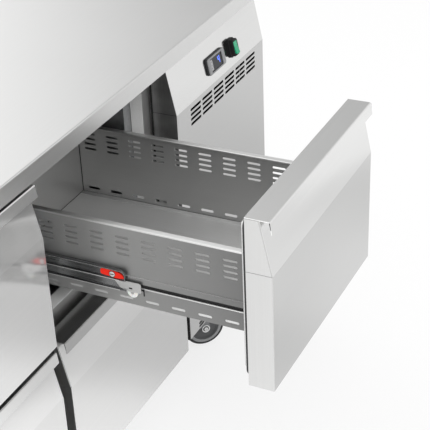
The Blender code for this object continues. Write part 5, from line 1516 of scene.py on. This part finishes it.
def make_castor(castor, spot):
    """A swivel castor: pressed fork with its ball race, axle bolt with nuts, and the wheel."""
    place = Matrix.Translation(counter_origin() + Vector((*spot, 0))) @ Matrix.Rotation(CASTOR_YAW, 4, "Z")
    top = CASTOR_HEIGHT - CASTOR_PLATE_SHEET - GAP
    under = top - KING_PIN_LENGTH + 2 * GAP
    axle = wheel_axle(castor)
    inner = WHEEL_WIDTH / 2 + WHEEL_SIDE_GAP
    outer = inner + FORK_SHEET
    bore = KING_PIN_RADIUS + GAP
    piece = Piece(castor + "_castor_frame")
    r = CROWN_RADIUS
    race = [(bore, under), (r * 0.86, under), (r * 0.97, under + RACE_LIP), (r, under + RACE_SHOULDER),
            (r * 0.97, top - RACE_CREST), (r * 0.90, top - RACE_LIP), (r * 0.90, top), (bore, top)]
    piece.add(turned(race, "Z", 48), "fork_zinc", place=place)
    trail = CASTOR_TRAIL
    foot = AXLE_HEAD_RADIUS
    wide = r * 0.60
    leg = [(-wide, top - LEG_TOP), (wide, top - LEG_TOP), (wide, under - LEG_BEND),
           (-trail + 1.6 * foot, axle + LEG_FRONT_RISE), *arc((-trail, axle), foot, 20, -160, 8),
           (-trail - foot * 1.15, axle + LEG_REAR_RISE), (-r * 0.92, under)]
    for near, far in ((inner, outer), (-outer, -inner)):
        piece.add(prism(leg, "X", near, far), "fork_zinc", sizes().edge, place)
    move = place @ Matrix.Translation((0, -trail, axle))
    rod = spindle([(AXLE_RADIUS, -outer + GAP), (AXLE_RADIUS, outer - GAP)], "X", 32)
    piece.add(rod, "bolt_steel", place=move)
    for side in (-1, 1):
        ring = [(foot * 0.70, side * (outer - GAP)), (foot * 0.98, side * (outer - GAP)),
                (foot * 0.98, side * (outer + WASHER_BRIM)), (foot * 0.86, side * (outer + WASHER_CROWN)),
                (foot * 0.70, side * (outer + WASHER_DISH))]
        piece.add(turned(ring, "X", 40), "hub_zinc", place=move)
        disc = [(foot * 0.72, side * outer), (foot * 0.72, side * (outer + WASHER_DISH))]
        piece.add(spindle(disc, "X", 40), "black_plastic", place=move)
        nut = [set_out(circle(foot * share, 6), "X", side * (outer + out))
               for share, out in ((0.50, NUT_BASE), (0.50, NUT_SHOULDER), (0.44, NUT_TOP))]
        piece.add(lofted(nut), "hub_zinc", GAP, place=move)
        stud = spindle([(AXLE_RADIUS * 0.6, side * (outer + STUD_START)),
                        (AXLE_RADIUS * 0.5, side * (outer + AXLE_HEAD))], "X", 24)
        piece.add(stud, "bolt_steel", place=move)
    piece.done(castor + "_castor", [castor + "_castor_fork"], (0, 0, 0), 30)
    make_castor_wheel(castor, move, axle)


def make_castor_wheel(castor, place, radius):
    """The wheel: a rounded tyre on a dished disc with a raised rim and a hub with its bearing."""
    half = WHEEL_WIDTH / 2
    bore = AXLE_RADIUS + GAP
    r = radius
    piece = Piece(castor + "_castor_tyre")
    shoulder = half * 0.82
    turns = [math.pi / 2 * n / 5 for n in range(6)]
    tread = [(r * 0.86, -shoulder)]
    tread += [(r * (0.90 + 0.10 * math.sin(a)), shoulder * (-1 + 0.32 * (1 - math.cos(a)))) for a in turns]
    tyre = tread + [(a, -b) for a, b in reversed(tread)]
    piece.add(turned(tyre, "X", 96), "tyre_rubber", place=place)
    face = [(bore, -half), (r * 0.26, -half), (r * 0.29, -half * 0.94), (r * 0.31, -half * 0.5),
            (r * 0.40, -half * 0.46), (r * 0.64, -half * 0.46), (r * 0.70, -half * 0.72),
            (r * 0.74, -half * 0.84), (r * 0.84, -half * 0.84), (r * 0.865, -half * 0.78)]
    disc = face + [(a, -b) for a, b in reversed(face)]
    piece.add(turned(disc, "X", 72), "wheel_plastic", place=place)
    bead = [(r * 0.72, 0.80), (r * 0.74, 0.88), (r * 0.84, 0.88), (r * 0.86, 0.80)]
    bearing = [(r * 0.13, 0.96), (r * 0.24, 0.96), (r * 0.24, 0.999), (r * 0.13, 0.999)]
    for profile, segments, name in ((bead, 72, "rim_plastic"), (bearing, 40, "bolt_steel")):
        for side in (-1, 1):
            shape = [(a, side * half * b) for a, b in profile]
            piece.add(turned(shape, "X", segments), name, place=place)
    return piece.done(castor + "_wheel", [castor + "_castor_wheel"], (0, 0, 0), 30)


# Cold room

def make_cabinet_rollers():
    """The nylon tyres on the fixed rollers that carry the middle members."""
    piece = Piece("cabinet_rollers")
    r = CABINET_ROLLER_RADIUS
    wide = CABINET_RAIL_DEPTH - SLIDE_SHEET - GAP
    profile = [(r * 0.5, 0), (r + GAP / 2, 0), (r + GAP / 2, wide - ROLLER_CHAMFER), (r * 0.95, wide + GAP),
               (r * 0.62, wide + GAP), (r * 0.58, wide - GAP), (r * 0.5, wide - GAP)]
    for drawer in DRAWERS:
        left, front, _, right, _, _ = box_size(drawer)
        closed = closed_place(drawer)
        low = slide_heights(drawer)[0]
        start = front + CABINET_RAIL_FRONT + 2 * r
        spot = closed + Vector((left - SLIDE_SPACE + SLIDE_SHEET + GAP, start, low - GAP - r))
        middle = closed.x + (left + right) / 2
        for mirror in (None, middle):
            piece.add(turned(profile, "X", 40), "nylon", place=Matrix.Translation(spot), mirror=mirror)
            head = spindle([(r * 0.34, 0), (r * 0.34, wide + GAP), (r * 0.26, wide + 1.5 * GAP)], "X", 24)
            piece.add(head, "bolt_steel", place=Matrix.Translation(spot), mirror=mirror)
    return piece.done("cabinet", origin=counter_origin())


def make_breakers():
    """The pale plastic strips that line the openings of the front frame."""
    low, high = (corner - counter_origin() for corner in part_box("front_frame"))
    piece = Piece("breaker_strips")
    for drawer in DRAWERS:
        closed = closed_place(drawer)
        width, height = drawer_size(drawer)
        wide = width - 2 * OPENING_SIDE
        tall = height - OPENING_TOP - OPENING_BOTTOM
        centre = (closed.x + width / 2, closed.z - OPENING_TOP - tall / 2)
        profile = [(BREAKER_OVERLAP, low.y + GAP), (-BREAKER_SHEET, low.y + GAP),
                   (-BREAKER_SHEET, high.y - GAP), (BREAKER_OVERLAP, high.y - GAP)]
        piece.add(frame_ring(wide, tall, BREAKER_CORNER, profile, "Y", centre, 2), "breaker_plastic")
    return piece.done("cabinet", origin=counter_origin())


# Stage

# The floor's glow in the metal from left to right, as shares of the floor's span and of its patches' glow
FLOOR_TONES = [
    (0.0, 0.715), (0.08, 0.735), (0.12, 1.0), (0.168, 0.845), (0.20, 0.82), (0.23, 0.78), (0.26, 0.56),
    (0.29, 0.42), (0.32, 0.42), (0.36, 0.467), (0.40, 0.475), (0.50, 0.417), (0.57, 0.55), (0.66, 0.567),
    (0.78, 0.59), (1.0, 0.667),
]
# The surroundings' glow in the metal from the front right to the rear left, as shares of SIDE_GLOW
SIDE_TONES = [
    (0.0, 0.58), (0.25, 0.50), (0.36, 0.33), (0.425, 0.33), (0.50, 0.64), (0.57, 0.97), (0.63, 0.98),
    (0.72, 0.74), (1.0, 0.66),
]


def make_floor():
    """A pale floor that keeps the counter's shadow, looks white in the picture and toned in the metal."""
    floor = bpy.data.meshes.new("floor")
    solid = bmesh.new()
    bmesh.ops.create_grid(solid, x_segments=1, y_segments=1, size=FLOOR_REACH)
    bmesh.ops.translate(solid, verts=solid.verts, vec=(0, 0, -FLOOR_DROP))
    solid.to_mesh(floor)
    solid.free()
    thing = bpy.data.objects.new("floor", floor)
    bpy.context.scene.collection.objects.link(thing)
    material = bpy.data.materials.new("floor_paint")
    material.use_nodes = True
    tree = material.node_tree
    shader = tree.nodes["Principled BSDF"]
    place = add(tree, "ShaderNodeTexCoord").outputs["Object"]
    noise = add(tree, "ShaderNodeTexNoise", {"Vector": place, "Scale": 3.0}).outputs["Fac"]
    rough = add(tree, "ShaderNodeMapRange", {"Value": noise, "To Min": 0.75, "To Max": 0.95}).outputs[0]
    tree.links.new(rough, shader.inputs["Roughness"])
    shader.inputs["Base Color"].default_value = (0.93, 0.93, 0.93, 1)
    rays = add(tree, "ShaderNodeLightPath").outputs
    across = add(tree, "ShaderNodeSeparateXYZ", {0: place}).outputs[0]
    across = add(tree, "ShaderNodeMapRange", {
        "Value": across, "From Min": FLOOR_SPAN[0], "From Max": FLOOR_SPAN[1],
    }).outputs[0]
    tone = add(tree, "ShaderNodeFloatCurve", {"Value": across}).outputs[0]
    fill_curve(tone.node, FLOOR_TONES)
    patches = add(tree, "ShaderNodeTexNoise", {"Vector": place, "Scale": 1.6, "Detail": 1.0}).outputs["Fac"]
    patches = add(tree, "ShaderNodeMapRange", {
        "Value": patches, "To Min": FLOOR_PATCHES[0], "To Max": FLOOR_PATCHES[1],
    }).outputs[0]
    tone = math_node(tree, "MULTIPLY", tone, patches)
    tone = add(tree, "ShaderNodeMix", {0: rays["Is Glossy Ray"], 2: 1.0, 3: tone}).outputs[0]
    tone = math_node(tree, "MULTIPLY", tone, later_bounces(tree, 1.0))
    white = add(tree, "ShaderNodeEmission", {"Color": (1, 1, 1, 1), "Strength": tone}).outputs[0]
    share = add(tree, "ShaderNodeMapRange", {
        "Value": seen_rays(tree), "To Min": 0.0, "To Max": FLOOR_WHITE_SHARE,
    }).outputs[0]
    mixed = add(tree, "ShaderNodeMixShader", {0: share, 1: shader.outputs[0], 2: white}).outputs[0]
    tree.links.new(mixed, tree.nodes["Material Output"].inputs["Surface"])
    floor.materials.append(material)


def fill_curve(node, spots):
    """Sets a float curve's points, from the first to the last."""
    curve = node.mapping.curves[0]
    for _ in spots[2:]:
        curve.points.new(0.5, 0.5)
    for point, spot in zip(curve.points, spots):
        point.location = spot
    node.mapping.update()


def later_bounces(tree, first):
    """A share that falls for rays that have bounced more often than the first number of times."""
    depth = add(tree, "ShaderNodeLightPath").outputs["Ray Depth"]
    return add(tree, "ShaderNodeMapRange", {
        "Value": depth, "From Min": first, "From Max": first + 4.0, "To Min": 1.0, "To Max": DEEP_GLOW,
    }).outputs[0]


def seen_rays(tree):
    """One for the rays that show the background, in the picture, in metal and in glass."""
    rays = add(tree, "ShaderNodeLightPath").outputs
    seen = math_node(tree, "MAXIMUM", rays["Is Camera Ray"], rays["Is Transmission Ray"])
    return math_node(tree, "MAXIMUM", seen, rays["Is Glossy Ray"])


def make_surroundings():
    """White in the picture, an even glow on plain surfaces, and a glow by direction in the metal."""
    world = bpy.data.worlds.new("studio")
    bpy.context.scene.world = world
    world.use_nodes = True
    tree = world.node_tree
    ground = tree.nodes["Background"]
    ground.inputs["Color"].default_value = (1, 1, 1, 1)
    way = add(tree, "ShaderNodeTexCoord").outputs["Generated"]
    side = add(tree, "ShaderNodeVectorMath", {0: way, 1: SIDE_WAY}, operation="DOT_PRODUCT")
    side = add(tree, "ShaderNodeMapRange", {"Value": side.outputs["Value"], "From Min": -1.0}).outputs[0]
    glow = add(tree, "ShaderNodeFloatCurve", {"Value": side}).outputs[0]
    fill_curve(glow.node, SIDE_TONES)
    glow = math_node(tree, "MULTIPLY", glow, SIDE_GLOW)
    glow = math_node(tree, "MULTIPLY", glow, later_bounces(tree, 2.0))
    rays = add(tree, "ShaderNodeLightPath").outputs
    level = add(tree, "ShaderNodeMix", {0: rays["Is Glossy Ray"], 2: PLAIN_GLOW, 3: glow}).outputs[0]
    clear = math_node(tree, "MAXIMUM", rays["Is Camera Ray"], rays["Is Transmission Ray"])
    level = add(tree, "ShaderNodeMix", {0: clear, 2: level, 3: 1.0}).outputs[0]
    tree.links.new(level, ground.inputs["Strength"])


def make_lamps():
    """Three large soft lamps."""
    for name, spot, size, power in LAMPS:
        light = bpy.data.lights.new(name, "AREA")
        light.shape = "SQUARE"
        light.size = size
        light.energy = power
        lamp = bpy.data.objects.new(name, light)
        lamp.location = spot
        aim = Vector(LAMP_TARGET) - Vector(spot)
        lamp.rotation_euler = aim.to_track_quat("-Z", "Y").to_euler()
        lamp.visible_glossy = False
        bpy.context.scene.collection.objects.link(lamp)


def make_camera():
    """The photograph's view: from the front left, above the worktop."""
    data = bpy.data.cameras.new("view")
    camera = bpy.data.objects.new("view", data)
    camera.location = CAMERA_PLACE
    camera.rotation_euler = Euler([math.radians(angle) for angle in CAMERA_TURN])
    data.sensor_width = 36
    data.lens = CAMERA_LENS
    data.shift_x, data.shift_y = CAMERA_SHIFT
    data.clip_start = 0.05
    data.clip_end = 60
    bpy.context.scene.collection.objects.link(camera)
    bpy.context.scene.camera = camera
    bpy.context.scene.view_settings.view_transform = "Standard"


# Finishes of the CAD nodes

NODE_FINISHES = {
    "worktop": "steel_along",
    "front_frame": "frame_steel",
    "left_side_panel": "steel_upright",
    "partition_panel": "lining_steel",
    "rear_panel": "steel_upright",
    "ceiling_panel": "lining_steel",
    "floor_panel": "lining_steel",
    "machine_panel": "steel_along",
    "machine_side_panel": "side_panel_steel",
    "machine_rear_grille": "steel_upright",
    "machine_base": "zinc_sheet",
    "controller": "bezel_plastic",
    "display_window": "display_glass",
    "switch_housing": "black_plastic",
    "switch_rocker": "rocker_green",
    "condenser": "black_enamel",
    "fan_shroud": "black_enamel",
    "condenser_fan": "black_plastic",
    "compressor": "black_enamel",
    "evaporator_cover": "box_steel",
    "evaporator_fan": "black_plastic",
    "evaporator_coil": "fin_aluminium",
}

# Finishes of the nodes that come several times, by the endings of their names
ENDING_FINISHES = {
    "_support": "zinc_sheet",
    "_slide": "slide_zinc",
    "_roller": "nylon",
    "_lever": "lever_plastic",
    "_fork": "zinc_sheet",
    "_wheel": "wheel_plastic",
    "_front": "steel_along",
    "_box": "box_steel",
    "_gasket": "gasket_rubber",
}


def dress_nodes():
    """Gives each CAD node its finish."""
    for name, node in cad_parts.items():
        found = NODE_FINISHES.get(name)
        for ending, finish_name in ENDING_FINISHES.items():
            if found is None and name.endswith(ending):
                found = finish_name
        if found is None:
            raise RuntimeError("no finish for " + name)
        for slot in node.material_slots:
            slot.material = bpy.data.materials[found]


# Operators

class COUNTER_OT_stage(bpy.types.Operator):
    """Builds the floor, the surroundings, the lamps and the camera"""

    bl_idname = "counter.stage"
    bl_label = "Stage"

    def execute(self, context):
        make_floor()
        make_surroundings()
        make_lamps()
        make_camera()
        return {"FINISHED"}


class COUNTER_OT_finishes(bpy.types.Operator):
    """Makes the finishes and gives them to the frame's nodes"""

    bl_idname = "counter.finishes"
    bl_label = "Finishes"

    def execute(self, context):
        make_finishes()
        dress_nodes()
        return {"FINISHED"}


class COUNTER_OT_fronts(bpy.types.Operator):
    """Makes the folded drawer fronts and their seals"""

    bl_idname = "counter.fronts"
    bl_label = "Drawer fronts"

    def execute(self, context):
        for drawer in DRAWERS:
            make_front(drawer)
            make_gasket(drawer)
        return {"FINISHED"}


class COUNTER_OT_slides(bpy.types.Operator):
    """Makes the telescopic slides, their rollers and the release levers"""

    bl_idname = "counter.slides"
    bl_label = "Slides"

    def execute(self, context):
        for drawer in DRAWERS:
            for word in ("left", "right"):
                make_slide(drawer, word)
        for word in ("left", "right"):
            make_slide_fittings(word)
        return {"FINISHED"}


class COUNTER_OT_boxes(bpy.types.Operator):
    """Makes the slotted drawer boxes and their rails"""

    bl_idname = "counter.boxes"
    bl_label = "Drawer boxes"

    def execute(self, context):
        for drawer in DRAWERS:
            make_box(drawer)
        return {"FINISHED"}


class COUNTER_OT_panels(bpy.types.Operator):
    """Makes the worktop, the machine compartment's front panel and its rear grille"""

    bl_idname = "counter.panels"
    bl_label = "Worktop and machine panels"

    def execute(self, context):
        make_worktop()
        make_machine_panel()
        make_rear_grille()
        return {"FINISHED"}


class COUNTER_OT_cold_room(bpy.types.Operator):
    """Makes the fixed rollers and the breaker strips of the cold room"""

    bl_idname = "counter.cold_room"
    bl_label = "Cold room"

    def execute(self, context):
        make_cabinet_rollers()
        make_breakers()
        return {"FINISHED"}


class COUNTER_OT_controls(bpy.types.Operator):
    """Makes the thermostat and the main switch"""

    bl_idname = "counter.controls"
    bl_label = "Controls"

    def execute(self, context):
        make_controller()
        make_switch()
        return {"FINISHED"}


class COUNTER_OT_castors(bpy.types.Operator):
    """Makes the four swivel castors"""

    bl_idname = "counter.castors"
    bl_label = "Castors"

    def execute(self, context):
        for castor, spot in castor_spots().items():
            make_castor(castor, spot)
        return {"FINISHED"}


CLASSES = (
    CounterSizes, CounterColours, COUNTER_OT_finishes, COUNTER_OT_stage, COUNTER_OT_fronts,
    COUNTER_OT_boxes, COUNTER_OT_slides, COUNTER_OT_panels, COUNTER_OT_controls, COUNTER_OT_castors,
    COUNTER_OT_cold_room,
)
STEPS = ("finishes", "stage", "fronts", "boxes", "slides", "panels", "controls", "castors", "cold_room")


class COUNTER_PT_panel(bpy.types.Panel):
    """Lists the counter's settings and pieces"""

    bl_idname = "COUNTER_PT_panel"
    bl_label = "Refrigerated counter"
    bl_space_type = "VIEW_3D"
    bl_region_type = "UI"
    bl_category = "Counter"

    def draw(self, context):
        layout = self.layout
        for group in (context.scene.counter_sizes, context.scene.counter_colours):
            box = layout.box()
            for key in group.bl_rna.properties.keys():
                if key not in ("rna_type", "name"):
                    box.prop(group, key)
        for step in STEPS:
            layout.operator("counter." + step)


def register():
    for cls in (*CLASSES, COUNTER_PT_panel):
        bpy.utils.register_class(cls)
    bpy.types.Scene.counter_sizes = bpy.props.PointerProperty(type=CounterSizes)
    bpy.types.Scene.counter_colours = bpy.props.PointerProperty(type=CounterColours)


def unregister():
    del bpy.types.Scene.counter_colours
    del bpy.types.Scene.counter_sizes
    for cls in reversed((*CLASSES, COUNTER_PT_panel)):
        bpy.utils.unregister_class(cls)


def main():
    register()
    for step in STEPS:
        getattr(bpy.ops.counter, step)()
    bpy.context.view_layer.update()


if __name__ == "__main__":
    main()
